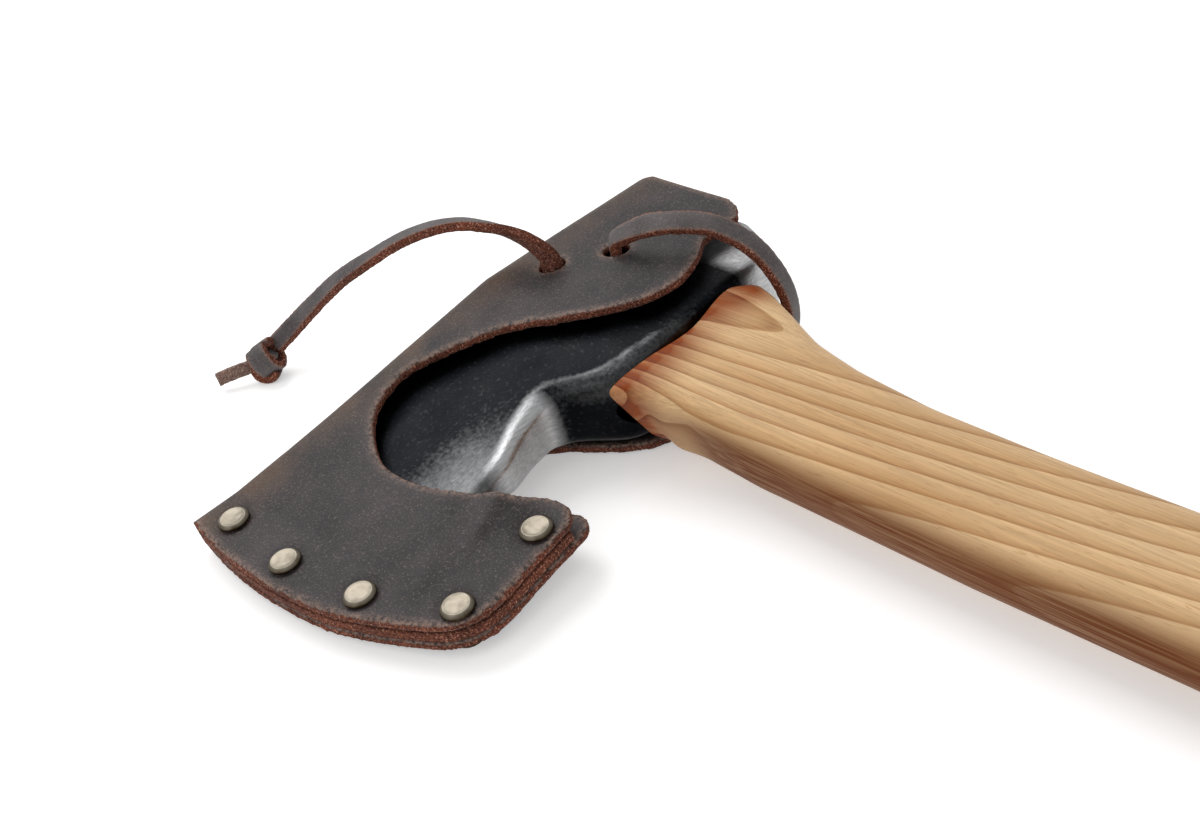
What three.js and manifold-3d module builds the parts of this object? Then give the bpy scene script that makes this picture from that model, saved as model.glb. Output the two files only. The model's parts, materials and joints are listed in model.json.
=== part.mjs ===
// A forged hatchet lying on its side with a leather sheath laced over its edge.
//
// Axe frame, in millimetres: X runs down the handle from the top of the head, Y runs back from the
// cutting edge to the poll, and Z is the thickness, with the head's middle plane at Z = 0.
// The whole axe frame is tipped at the end, so that it rests on the plane Z = 0 of the part.
import * as THREE from 'three';
import { mergeVertices } from 'three/addons/utils/BufferGeometryUtils.js';
import Module from 'manifold-3d';

const wasm = await Module();
wasm.setup();

// ---- driving dimensions ----
const gap = 0.3;                 // clearance between touching pieces

// head
const headLength = 145;          // cutting edge to poll face
const headDrop = 69;             // top line to the underside of the eye
const topLean = 0.107;           // how far the top line falls towards the handle, per mm
const edgeRadius = 140;          // curve of the cutting edge
const edgeMiddle = 25.5;         // X of the foremost point of the edge
const heelDrop = 66.5;           // X of the edge's lower corner
const beardDrop = 53.5;          // X of the underside at its narrowest
const beardPlace = 64;           // Y of that narrowest place
const bevelLength = 9;           // ground bevel behind the edge
const bevelHalf = 1.7;           // half thickness where the bevel ends
const eyeHalf = 12.4;            // half thickness at the eye
const pollHalf = 11.4;           // half thickness at the poll face
const eyePlace = 97;             // Y of the middle of the eye
const eyeLength = 38;            // size of the eye's hole along Y, at the underside
const eyeWidth = 17.5;           // size of the eye's hole along Z, at the underside
const eyeFlare = 1.08;           // how much longer the hole is at the top
const headChamfer = 3.2;         // worn corners of the head
const edgeHalf = 0.12;           // half thickness of the cutting edge itself
const lugFall = 6.4;             // the cheek falls away to the underside over this, beside the eye

// handle
const handleEnd = 380;           // X of the handle's butt
const gripDepth = 34;            // handle, edge side to poll side, at the grip
const gripHalf = 12.2;           // half thickness at the grip
const shoulderDepth = 48;        // depth of the wood where it meets the head
const shoulderSquare = 0.42;     // section there: 0 is a box, 1 an oval
const gripSquare = 0.84;         // the same at the grip
const knobDepth = 46;            // depth of the swell at the end
const knobHalf = 13;             // half thickness at the swell
const knobDrop = 10;             // how far the swell's middle turns towards the edge side
const kerfLength = 42;           // depth of the saw cut for the wedge
const wedgeThick = 5;            // wooden wedge at its wide end
const steelWedgeLength = 20;     // cross wedge of steel
const steelWedgeThick = 2.6;
const steelWedgeDepth = 16;
const wedgeTip = 0.25;           // a wedge's thin end, as a share of its wide one

// sheath
const leather = 2.8;             // one layer
const weltWidth = 13.5;          // cutting edge to the sheath's front border
const laceRoom = 1.9;            // slack between cheek and leather where the lace runs
const foldBow = 1.9;             // how far the fold stands out at half its length
const foldCorner = 9;            // bend radius of the fold over the head, outside
const pollCover = 1;             // sheath past the poll face
const kneePlace = 89;            // Y where the leather stops rising over the blade
const heelLobe = 87;             // X reach of the riveted corner
const heelEnd = 43;              // Y reach of the riveted corner
const riseStart = 2.7;           // Y where the leather starts to rise over the blade

// rivets
const capRadius = 4.25;
const capFlat = 3.3;
const capHeight = 1.2;
const capSunk = 0.5;             // depth of the dimple pressed in the leather
const postRadius = 1.7;
const postBore = 1.0;
const pinRadius = 0.65;
const pinLength = 4;

// lace
const laceWidth = 4.6;
const laceThick = 2.8;
const laceBack = 0.6;            // the loop starts this share of its thickness below the lower layer
const runThick = 1.5;            // the same lace pressed flat under the leather
const slotSpan = 17.8;           // slot to slot
const slotLength = 7.4;
const slotPlace = [23.2, 101.2]; // the slot of the free end
const slotTurn = 0.82;           // direction of the line through both slots, in radians from X
const knotRadius = 5;
const tailLength = 12.4;
const tailTurn = -0.51;          // the tail's direction, in radians from Y

// ---- what follows from them ----
const layerIn = leather / 2 + gap;                 // inner face of a layer over the welt
const stackHalf = layerIn + leather;               // half of the riveted stack
const faceHalf = eyeHalf + laceRoom + gap + leather; // outer face of a layer over the eye
const steps = 6;                                   // points on a rounded corner
const roundSteps = 28;                             // points round an oval section
const ovalEye = 0.8;                               // section of the eye: 0 is a box, 1 an oval
const clear = 60;                                  // reach of a cutting tool past the leather

const topLine = (y) => topLean * y;
const foldLine = (y) => topLine(y) - gap * 2 - leather;
const edgeLine = (x) => (x - edgeMiddle) ** 2 / (2 * edgeRadius);
const lerp = THREE.MathUtils.lerp;
const smooth = THREE.MathUtils.smoothstep;

// value of a list of [place, value] pairs at a place
function along(list, place) {
  if (place <= list[0][0]) return list[0][1];
  for (let i = 1; i < list.length; i++) {
    const [p0, v0] = list[i - 1];
    const [p1, v1] = list[i];
    if (place <= p1) return lerp(v0, v1, (place - p0) / (p1 - p0));
  }
  return list[list.length - 1][1];
}

// ---- solids ----
function toSolid(geometry) {
  const bare = geometry.index ? geometry.toNonIndexed() : geometry.clone();
  bare.deleteAttribute('normal');
  bare.deleteAttribute('uv');
  const merged = mergeVertices(bare, 1e-4);
  return new wasm.Manifold(new wasm.Mesh({
    numProp: 3,
    vertProperties: new Float32Array(merged.attributes.position.array),
    triVerts: new Uint32Array(merged.index.array),
  }));
}

function toGeometry(solid) {
  const mesh = solid.getMesh();
  const geometry = new THREE.BufferGeometry();
  geometry.setAttribute('position', new THREE.BufferAttribute(mesh.vertProperties, 3));
  geometry.setIndex(new THREE.BufferAttribute(mesh.triVerts, 1));
  geometry.computeVertexNormals();
  return geometry;
}

// skin over rings of equal length; point i of a ring faces point n-1-i, which closes the two ends
function skin(rings) {
  const n = rings[0].length;
  const points = rings.flat();
  const faces = [];
  const quad = (a, b, c, d) => faces.push(a, b, c, a, c, d);
  for (let r = 0; r < rings.length - 1; r++) {
    for (let i = 0; i < n; i++) {
      const j = (i + 1) % n;
      quad(r * n + i, r * n + j, (r + 1) * n + j, (r + 1) * n + i);
    }
  }
  for (const [start, turned] of [[0, true], [(rings.length - 1) * n, false]]) {
    for (let i = 0; i < n / 2 - 1; i++) {
      const [a, b, c, d] = [start + i, start + i + 1, start + n - 2 - i, start + n - 1 - i];
      if (turned) quad(d, c, b, a);
      else quad(a, b, c, d);
    }
  }
  let volume = 0;
  for (let f = 0; f < faces.length; f += 3) {
    const [a, b, c] = [points[faces[f]], points[faces[f + 1]], points[faces[f + 2]]];
    volume += a.dot(b.clone().cross(c));
  }
  if (volume < 0) faces.reverse();
  const geometry = new THREE.BufferGeometry().setFromPoints(points);
  geometry.setIndex(faces);
  geometry.computeVertexNormals();
  return geometry;
}

// points of a section of half size 1, from a box with soft corners to an oval
function ovalSection(squareness) {
  const bent = (v) => Math.sign(v) * Math.abs(v) ** squareness;
  const ring = [];
  for (let i = 0; i < roundSteps; i++) {
    const a = (i + 0.5) / roundSteps * Math.PI * 2;
    ring.push([bent(Math.cos(a)), bent(Math.sin(a))]);
  }
  return ring;
}

// a straight prism on an outline of the XY plane, from z0 to z1
function prism(outline, z0, z1) {
  const shape = new THREE.Shape(outline.map(([x, y]) => new THREE.Vector2(x, y)));
  const geometry = new THREE.ExtrudeGeometry(shape, { depth: z1 - z0, bevelEnabled: false });
  return geometry.translate(0, 0, z0);
}

// a smooth open run through a few points
function curveThrough(points, divisions) {
  const curve = new THREE.SplineCurve(points.map(([x, y]) => new THREE.Vector2(x, y)));
  return curve.getPoints(divisions).map((p) => [p.x, p.y]);
}

// ---- head ----
const eyeFront = eyePlace - eyeLength / 2;
const eyeBack = eyePlace + eyeLength / 2;
const undersideOf = [
  [0, heelDrop],
  [15, heelDrop - 2.5],
  [32, heelDrop - 6],
  [beardPlace - 17, beardDrop + 5],
  [beardPlace - 8, beardDrop + 1.6],
  [beardPlace, beardDrop],
  [eyeFront - 8, beardDrop + 2.6],
  [eyeFront - 4, lerp(beardDrop, headDrop, 0.5)],
  [eyeFront, lerp(beardDrop, headDrop, 0.84)],
  [eyeFront + 4, headDrop],
  [headLength - 11, headDrop],
  [headLength - 7, headDrop - 1.2],
  [headLength - 4, headDrop - 4],
  [headLength - 1.6, headDrop - 8],
  [headLength, headDrop - 13],
];
const underside = (y) => along(undersideOf, y);
const undersideWear = [
  [beardPlace - 14, headChamfer],
  [eyeFront - 4, lugFall],
  [eyeFront + 4, lugFall],
  [eyePlace, headChamfer],
  [eyeBack, headChamfer / 2],
  [headLength, headChamfer],
];
const cheek = [
  [0, edgeHalf],
  [bevelLength, bevelHalf],
  [26, lerp(bevelHalf, eyeHalf, 0.16)],
  [46, lerp(bevelHalf, eyeHalf, 0.36)],
  [62, lerp(bevelHalf, eyeHalf, 0.6)],
  [eyeFront, lerp(bevelHalf, eyeHalf, 0.88)],
  [eyeFront + 10, eyeHalf],
  [eyeBack, eyeHalf],
  [headLength, pollHalf],
];

function headRing(y) {
  const top = topLine(y);
  const low = underside(y);
  const half = along(cheek, y);
  const worn = Math.min(headChamfer, half * 0.8);
  const wornLow = Math.min(along(undersideWear, y), half * 2);
  const wornHalf = Math.min(worn, wornLow);
  const fade = 1 - smooth(y, 0, 45);
  const across = [
    [top, half - worn],
    [top + worn * 0.35, half - worn * 0.3],
    [top + worn, half],
    [lerp(top, low, 0.35), half],
    [lerp(top, low, 0.65), half],
    [low - wornLow, half],
    [low - wornLow * 0.35, half - wornHalf * 0.3],
    [low, half - wornHalf],
  ];
  const place = ([x, z]) => new THREE.Vector3(x, y + edgeLine(x) * fade, z);
  const upper = across.map(place);
  const lower = across.map(([x, z]) => place([x, -z])).reverse();
  return upper.concat(lower);
}

// an oval station of the eye's hole, or of the wood in it; its top follows the slant of the head
const tongueTop = topLine(eyePlace) + gap * 2;
function eyeRing(x, grow) {
  const flare = lerp(eyeFlare, 1, smooth(x, topLine(eyePlace), headDrop));
  return ovalSection(ovalEye).map(([c, s]) => {
    const y = eyePlace + c * (eyeLength * flare / 2 + grow);
    const z = s * (eyeWidth * flare / 2 + grow);
    const slant = topLean * (y - eyePlace) * (1 - smooth(x, tongueTop, headDrop));
    return new THREE.Vector3(x + slant, y, z);
  });
}

const headStations = [0, 4, bevelLength, 17, 26, 36, 47, 56, beardPlace, eyeFront - 8, eyeFront - 4,
  eyeFront, eyeFront + 4, eyeFront + 10, eyePlace, 106, eyeBack, 126, headLength - 11,
  headLength - 7, headLength - 4, headLength - 1.6, headLength];
const eyeStations = [-30, 0, 12, 24, 36, 48, 60, headDrop, headDrop + 20];

function axeHead() {
  const body = toSolid(skin(headStations.map(headRing)));
  const hole = toSolid(skin(eyeStations.map((x) => eyeRing(x, 0))));
  return toGeometry(body.subtract(hole));
}

// ---- handle ----
// each station: X, middle in Y, half depth, half thickness
const shoulderStart = headDrop + gap;
const gripMiddle = eyePlace - 2.2;
const depthAt = (share) => lerp(gripDepth, shoulderDepth, share) / 2;
const handleStations = [
  [shoulderStart, gripMiddle + 2.8, shoulderDepth / 2 - 1, eyeHalf - 0.4],
  [shoulderStart + 2, gripMiddle + 4.2, shoulderDepth / 2 + 0.1, eyeHalf],
  [shoulderStart + 6, gripMiddle + 6.3, shoulderDepth / 2 + 0.8, eyeHalf + 0.4],
  [shoulderStart + 12, gripMiddle + 6.3, depthAt(0.94), eyeHalf + 0.5],
  [shoulderStart + 20, gripMiddle + 5.5, depthAt(0.66), eyeHalf + 0.5],
  [shoulderStart + 32, gripMiddle + 3.4, depthAt(0.31), eyeHalf + 0.4],
  [shoulderStart + 48, gripMiddle + 1.6, depthAt(0.1), eyeHalf + 0.1],
  [shoulderStart + 70, gripMiddle + 0.2, depthAt(0.02), gripHalf + 0.2],
  [shoulderStart + 100, gripMiddle - 0.4, depthAt(0), gripHalf],
  [handleEnd - 160, gripMiddle, depthAt(0), gripHalf - 0.2],
  [handleEnd - 120, gripMiddle + 1, depthAt(0) - 0.4, gripHalf - 0.4],
  [handleEnd - 80, gripMiddle + 0.6, depthAt(0) - 0.4, gripHalf - 0.4],
  [handleEnd - 50, gripMiddle - knobDrop * 0.35, depthAt(0.08), gripHalf],
  [handleEnd - 28, gripMiddle - knobDrop * 0.8, lerp(gripDepth, knobDepth, 0.6) / 2, knobHalf - 0.4],
  [handleEnd - 12, gripMiddle - knobDrop, knobDepth / 2, knobHalf],
  [handleEnd - 4, gripMiddle - knobDrop, knobDepth / 2 - 0.8, knobHalf - 0.6],
  [handleEnd, gripMiddle - knobDrop, knobDepth / 2 - 4, knobHalf - 3.4],
];

function handleRing([x, middle, depth, half]) {
  const squareness = lerp(shoulderSquare, gripSquare, smooth(x, shoulderStart, shoulderStart + 60));
  return ovalSection(squareness).map(([c, s]) => new THREE.Vector3(x, middle + c * depth, s * half));
}

// the saw cut in the tongue runs along Y; the wedge fills it and a steel wedge crosses it
const wedgeHalfY = eyeLength * eyeFlare / 2 - 3;
const steelHalf = steelWedgeLength / 2 * (eyeWidth / eyeLength) * 1.5;

// a wedge driven in from the top, whole or grown by a clearance and run out through the top
function wedge(halfY, halfZ, reach, thinAlong, grow) {
  const run = grow * 30;
  const station = (depth) => {
    const thin = 1 - (1 - wedgeTip) * depth / reach;
    const y = halfY * (thinAlong === 'y' ? thin : 1) + grow;
    const z = halfZ * (thinAlong === 'z' ? thin : 1) + grow;
    const place = ([dy, dz]) => {
      const slant = topLean * dy * (1 - depth / reach);
      return new THREE.Vector3(tongueTop + depth + slant, eyePlace + dy, dz);
    };
    return [[-y, z], [y, z], [y, -z], [-y, -z]].map(place);
  };
  return skin([station(-run), station(reach + grow)]);
}
const wedgeOf = (grow) => wedge(wedgeHalfY, wedgeThick / 2, kerfLength, 'z', grow);
const steelOf = (grow) => wedge(steelWedgeThick / 2, steelHalf, steelWedgeDepth, 'y', grow);

function handle() {
  const tongueStations = [tongueTop, 20, 32, 44, 56, headDrop + 4];
  const tongue = toSolid(skin(tongueStations.map((x) => eyeRing(x, -gap))));
  const grip = toSolid(skin(handleStations.map(handleRing)));
  const cut = toSolid(wedgeOf(gap)).add(toSolid(steelOf(gap)));
  return toGeometry(tongue.add(grip).subtract(cut));
}

function woodWedge() {
  return toGeometry(toSolid(wedgeOf(0)).subtract(toSolid(steelOf(gap))));
}

// ---- sheath ----
// outer half thickness of the folded leather: flat on the riveted stack, rising over the blade
const pinchStart = heelDrop - 3.2;
const pinchEnd = heelDrop + 7;
function outerHalf(x, y) {
  const rise = THREE.MathUtils.clamp((y - riseStart) / (kneePlace - riseStart), 0, 1);
  const pinch = y < heelEnd + 8 ? 1 - THREE.MathUtils.clamp((x - pinchStart) / (pinchEnd - pinchStart), 0, 1) : 1;
  return stackHalf + (faceHalf - stackHalf) * rise * pinch;
}

// one U-shaped station of the folded hide: outside path out and round the fold, inside path back
function foldRing(y) {
  const bow = foldBow * Math.max(0, 1 - ((y / headLength - 0.5) * 2) ** 2);
  const outside = [];
  const inside = [];
  for (const x of [130, pinchEnd, pinchStart, 40]) {
    outside.push([x, outerHalf(x, y)]);
    inside.push([x, outerHalf(x, y) - leather]);
  }
  const half = outerHalf(30, y);
  const bend = Math.min(foldCorner, half);
  const innerBend = Math.max(Math.min(bend, half) - leather, 0.6);
  const start = foldLine(y);
  for (let i = 0; i <= steps; i++) {
    const a = i / steps * Math.PI / 2;
    outside.push([start - bow + bend * (1 - Math.sin(a)), half - bend * (1 - Math.cos(a))]);
    inside.push([
      start + leather + innerBend * (1 - Math.sin(a)),
      half - leather - innerBend * (1 - Math.cos(a)),
    ]);
  }
  const mirrored = (path) => path.map(([x, z]) => [x, -z]).reverse();
  const out = outside.concat(mirrored(outside));
  const back = inside.concat(mirrored(inside)).reverse();
  return out.concat(back).map(([x, z]) => new THREE.Vector3(x, y, z));
}

// front border: an arc round the cutting edge, then the riveted corner
const borderRadius = edgeRadius + weltWidth;
const border = (x) => (x - edgeMiddle) ** 2 / (2 * borderRadius) - weltWidth;
const sheathEnd = headLength + pollCover;
function frontBorder(end) {
  const arc = [];
  for (let x = -8; x < heelLobe - 34; x += 6) arc.push([x, border(x)]);
  const turn = curveThrough([
    [heelLobe - 31, border(heelLobe - 31) + 0.2],
    [heelLobe - 21, -6.8],
    [heelLobe - 11, -2.3],
    [heelLobe - 2.4, 2.4],
    [heelLobe + 2.4, 9],
    [heelLobe + 3, 17.5],
    [heelLobe + 1.6, 27],
    [heelLobe, end - 2],
  ], 18);
  return arc.concat(turn);
}

// the edge past the poll, round the corner at the fold and back outside it
const pollFold = foldLine(sheathEnd);
const pollEdge = [
  [49, sheathEnd],
  [pollFold + 6, sheathEnd],
  [pollFold + 2.2, sheathEnd - 1],
  [pollFold - 0.2, sheathEnd - 3.6],
  [pollFold - 1.4, sheathEnd - 8],
  [-25, sheathEnd - 8],
  [-25, border(-8)],
];

// the upper layer is cut away in a deep S that shows the cheek
function upperOutline() {
  const heelCorner = curveThrough([
    [heelLobe, heelEnd - 2],
    [heelLobe - 2.4, heelEnd + 0.9],
    [heelLobe - 6.2, heelEnd + 2],
    [heelLobe - 11, heelEnd + 0.6],
    [heelLobe - 16, heelEnd - 3.4],
  ], 10);
  const sweep = curveThrough([
    [67, 37],
    [59, 32],
    [47.6, 28.6],
    [36.2, 27.8],
    [28.3, 30],
    [19.5, 35.8],
    [14.4, 42.7],
    [13.2, 51.3],
    [15.2, 57.4],
    [24.8, 71.6],
    [32.8, 79.6],
    [42.4, 86],
    [51.2, 93.8],
    [58, 102],
    [61, 112],
    [58.6, 122],
    [55, 128],
  ], 44);
  const tab = [[56, sheathEnd - 8], [56.6, sheathEnd - 5.5], [53, sheathEnd - 1.6]];
  return frontBorder(heelEnd).concat(heelCorner.slice(1), sweep, tab, pollEdge);
}

// the lower layer keeps more of its leather, as a bed for the head
function lowerOutline() {
  const heelCorner = curveThrough([
    [heelLobe, heelEnd + 1],
    [heelLobe - 2, heelEnd + 4],
    [heelLobe - 6, heelEnd + 4.8],
    [heelLobe - 13, heelEnd + 2.5],
    [heelLobe - 22, heelEnd - 0.4],
    [heelLobe - 32, heelEnd + 2],
    [heelLobe - 40, heelEnd + 10],
    [heelLobe - 42, heelEnd + 19],
    [heelLobe - 37, heelEnd + 26],
    [heelLobe - 28, heelEnd + 32],
    [heelLobe - 21, heelEnd + 38],
    [heelLobe - 17, heelEnd + 46],
    [heelLobe - 18, heelEnd + 62],
    [heelLobe - 25, heelEnd + 80],
    [heelLobe - 31, heelEnd + 95],
  ], 50);
  return frontBorder(heelEnd + 3).concat(heelCorner.slice(1), [[53, sheathEnd - 1.6]], pollEdge);
}

// the welt fills the stack between the layers, in front of the edge and round the heel
const heelTrack = (y) => heelDrop + 2.2 + topLean * y;
function weltOutline() {
  const outer = frontBorder(heelEnd).filter(([x]) => x > -2);
  outer.unshift([foldLine(-6) + leather + gap * 3, border(0)]);
  const inner = [];
  for (let y = heelEnd - 1; y > edgeLine(heelDrop) + 1; y -= 8) inner.push([heelTrack(y), y]);
  for (let x = heelDrop + 1; x > 6; x -= 7) inner.push([x, edgeLine(x) - gap * 3]);
  inner.push([topLine(0) + 0.8, edgeLine(0) - gap * 3]);
  return outer.concat(inner);
}

const rivetPlaces = [
  [8.1, -4.4],
  [33.4, -5.8],
  [59.5, -2.1],
  [83.3, 8.4],
  [81.5, 35.2],
];

function disc(place, radius, z0, z1) {
  const geometry = new THREE.CylinderGeometry(radius, radius, z1 - z0, 20);
  return geometry.rotateX(Math.PI / 2).translate(place[0], place[1], (z0 + z1) / 2);
}

const slotStep = [Math.cos(slotTurn) * slotSpan, Math.sin(slotTurn) * slotSpan];
const loopPlace = [slotPlace[0] + slotStep[0], slotPlace[1] + slotStep[1]];

// a rounded slot in the leather, its length along the line through both slots
function slotCut(place, z0, z1) {
  const half = laceWidth / 2 + gap;
  const reach = slotLength / 2 - half;
  const outline = [];
  for (let i = 0; i <= 2 * steps; i++) {
    const a = i / (2 * steps) * Math.PI - Math.PI / 2;
    outline.push([reach + half * Math.cos(a), half * Math.sin(a)]);
  }
  const far = outline.map(([x, y]) => [-x, -y]);
  const geometry = prism(outline.concat(far), z0, z1);
  return geometry.rotateZ(slotTurn).translate(place[0], place[1], 0);
}

function sheathLeather() {
  const stations = [-weltWidth - 6, riseStart, 20, heelEnd + 7, heelEnd + 9, 70, kneePlace, 115, sheathEnd + 10];
  let hide = toSolid(skin(stations.map(foldRing)));
  const upper = toSolid(prism(upperOutline(), 0, clear));
  const lower = toSolid(prism(lowerOutline(), -clear, 0));
  hide = hide.intersect(upper.add(lower));
  for (const place of rivetPlaces) {
    hide = hide.subtract(toSolid(disc(place, postRadius + gap, -clear, clear)));
    hide = hide.subtract(toSolid(disc(place, capRadius + gap, stackHalf - capSunk, clear)));
    hide = hide.subtract(toSolid(disc(place, capRadius + gap, -clear, capSunk - stackHalf)));
  }
  hide = hide.subtract(toSolid(slotCut(slotPlace, stackHalf, clear)));
  hide = hide.subtract(toSolid(slotCut(loopPlace, stackHalf, clear)));
  hide = hide.subtract(toSolid(slotCut(loopPlace, -clear, -stackHalf)));
  return toGeometry(hide);
}

function sheathWelt() {
  let welt = toSolid(prism(weltOutline(), -leather / 2, leather / 2));
  for (const place of rivetPlaces) {
    welt = welt.subtract(toSolid(disc(place, postRadius + gap, -clear, clear)));
  }
  return toGeometry(welt);
}

// ---- rivets: a capped tube from above, a capped pin crimped into it from below ----
const capSeat = stackHalf - capSunk + gap;
const capProfile = [
  [capRadius, capSeat],
  [capRadius, capSeat + capHeight * 0.45],
  [capRadius - 0.35, capSeat + capHeight * 0.8],
  [capFlat, capSeat + capHeight],
];

function lathe(profile) {
  const points = profile.map(([r, z]) => new THREE.Vector2(r, z));
  return new THREE.LatheGeometry(points, 24).rotateX(Math.PI / 2);
}

function rivetFront() {
  const foot = gap - capSeat;
  const boreTop = foot + pinLength + gap * 2;
  return lathe([
    [0, boreTop],
    [postBore, boreTop],
    [postBore, foot],
    [postRadius, foot],
    [postRadius, capSeat],
    ...capProfile,
    [0, capSeat + capHeight],
  ]);
}

function rivetBack() {
  const seat = -capSeat;
  return lathe([
    [0, -capSeat - capHeight],
    ...capProfile.map(([r, z]) => [r, -z]).reverse(),
    [pinRadius, seat],
    [pinRadius, seat + pinLength],
    [0, seat + pinLength],
  ]);
}

// ---- lace ----
const laceSection = [
  [-laceWidth / 2, -laceThick / 4],
  [-laceWidth / 4, -laceThick / 2],
  [laceWidth / 4, -laceThick / 2],
  [laceWidth / 2, -laceThick / 4],
  [laceWidth / 2, laceThick / 4],
  [laceWidth / 4, laceThick / 2],
  [-laceWidth / 4, laceThick / 2],
  [-laceWidth / 2, laceThick / 4],
];

// a flat lace along a route, its width lying square to the route's upright plane
function lace(points, count) {
  const path = new THREE.CatmullRomCurve3(points.map((p) => new THREE.Vector3(...p)));
  const frames = path.computeFrenetFrames(count);
  const reach = path.getPointAt(0.5).sub(path.getPointAt(0));
  const across = new THREE.Vector3(-reach.y, reach.x, 0).normalize();
  const turn = Math.atan2(across.dot(frames.binormals[0]), across.dot(frames.normals[0]));
  const shape = new THREE.Shape(laceSection.map(([x, y]) => new THREE.Vector2(x, y)
    .rotateAround(new THREE.Vector2(), turn)));
  return new THREE.ExtrudeGeometry(shape, { steps: count, bevelEnabled: false, extrudePath: path });
}

// the lace under the leather: down one slot, along the cheek and up the other
function laceRun(hasFreeEnd) {
  const low = eyeHalf + gap;
  const high = low + runThick;
  const rise = faceHalf - gap;
  const start = hasFreeEnd ? -laceThick / 2 : slotSpan * 0.25;
  const end = slotSpan + laceThick / 2;
  const side = [[start, low], [end, low], [end, rise], [end - laceThick, rise], [end - laceThick, high]];
  if (hasFreeEnd) side.push([start + laceThick, high], [start + laceThick, rise], [start, rise]);
  else side.push([start, high]);
  const shape = new THREE.Shape(side.map(([s, z]) => new THREE.Vector2(s, z)));
  const geometry = new THREE.ExtrudeGeometry(shape, { depth: laceWidth, bevelEnabled: false });
  geometry.translate(0, 0, -laceWidth / 2).rotateX(Math.PI / 2);
  return geometry.rotateZ(slotTurn).translate(slotPlace[0], slotPlace[1], 0);
}

// free end: out of its slot, over the fold and down to the table
const laceOut = faceHalf + gap;
const freeRoute = [
  [slotPlace[0], slotPlace[1], laceOut],
  [slotPlace[0] - 0.6, slotPlace[1] - 0.1, laceOut + 2.6],
  [17.4, 99.8, 24.6],
  [11.8, 97.6, 27.4],
  [5.2, 94.8, 29],
  [-1.2, 92, 29.5],
  [-9.2, 88, 28.2],
  [-18.9, 83.1, 24.6],
  [-29.4, 77.5, 18.8],
  [-40.6, 71.4, 12],
  [-51.2, 64.8, 3.4],
  [-57.4, 58.6, -2.6],
  [-60.8, 52.7, -6.4],
];

// loop: out of the other slot, over the poll's lower corner, down behind the wood and back below
const loopRoute = [
  [loopPlace[0], loopPlace[1], laceOut + 0.2],
  [loopPlace[0] + 0.3, loopPlace[1] + 0.2, laceOut + 2.4],
  [40, 115.4, 23],
  [46.4, 118.6, 25.6],
  [53.6, 122.4, 26],
  [60.2, 126.8, 24.4],
  [66, 129.6, 21],
  [70.8, 131.2, 17],
  [74.6, 132, 11.6],
  [77.2, 132.4, 5],
  [78, 132.2, -2],
  [76.6, 131.8, -9],
  [73.2, 130.8, -15.6],
  [67, 128.4, -19],
  [58, 124.4, -20.3],
  [48, 119.6, -20.4],
  [40.4, 116.2, -20.2],
  [loopPlace[0], loopPlace[1], -laceOut - laceThick * laceBack],
];

// ---- assembly ----
const axe = new THREE.Group();
const meshes = {};
function add(name, geometry, colour, roughness, metalness) {
  const material = new THREE.MeshStandardMaterial({ color: colour, roughness, metalness });
  const mesh = new THREE.Mesh(geometry, material);
  mesh.name = name;
  meshes[name] = mesh;
  axe.add(mesh);
  return mesh;
}

add('axe_head', axeHead(), '#2b2d30', 0.45, 0.9);
add('handle', handle(), '#c9975f', 0.5, 0);
add('wood_wedge', woodWedge(), '#b98a55', 0.6, 0);
add('steel_wedge', steelOf(0), '#8d8f92', 0.4, 0.9);
add('sheath_leather', sheathLeather(), '#3d332e', 0.6, 0);
add('sheath_welt', sheathWelt(), '#5b3a2c', 0.8, 0);
rivetPlaces.forEach(([x, y], i) => {
  add(`rivet_front_${i + 1}`, rivetFront(), '#a3926a', 0.35, 0.9).position.set(x, y, 0);
  add(`rivet_back_${i + 1}`, rivetBack(), '#a3926a', 0.35, 0.9).position.set(x, y, 0);
});
add('lace_run_upper', laceRun(true), '#3a3230', 0.7, 0);
add('lace_run_lower', laceRun(false), '#3a3230', 0.7, 0).scale.set(1, 1, -1);
add('lace_free', lace(freeRoute, 40), '#4a4341', 0.65, 0);
add('lace_loop', lace(loopRoute, 48), '#4a4341', 0.65, 0);

// the knot stands across the lace's end, and the tail leaves it sideways
const knotPlace = new THREE.Vector3(-60.5, 46.9, -8.8);
const tailWay = new THREE.Vector3(Math.sin(tailTurn), -Math.cos(tailTurn), 0);
add('lace_knot', new THREE.SphereGeometry(knotRadius, 16, 10), '#4a4341', 0.65, 0)
  .position.copy(knotPlace);
const tail = add('lace_tail', new THREE.BoxGeometry(laceThick, tailLength, laceWidth), '#6a4a3a', 0.7, 0);
tail.position.copy(knotPlace).addScaledVector(tailWay, knotRadius + gap + tailLength / 2);
tail.rotation.z = tailTurn;

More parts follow.
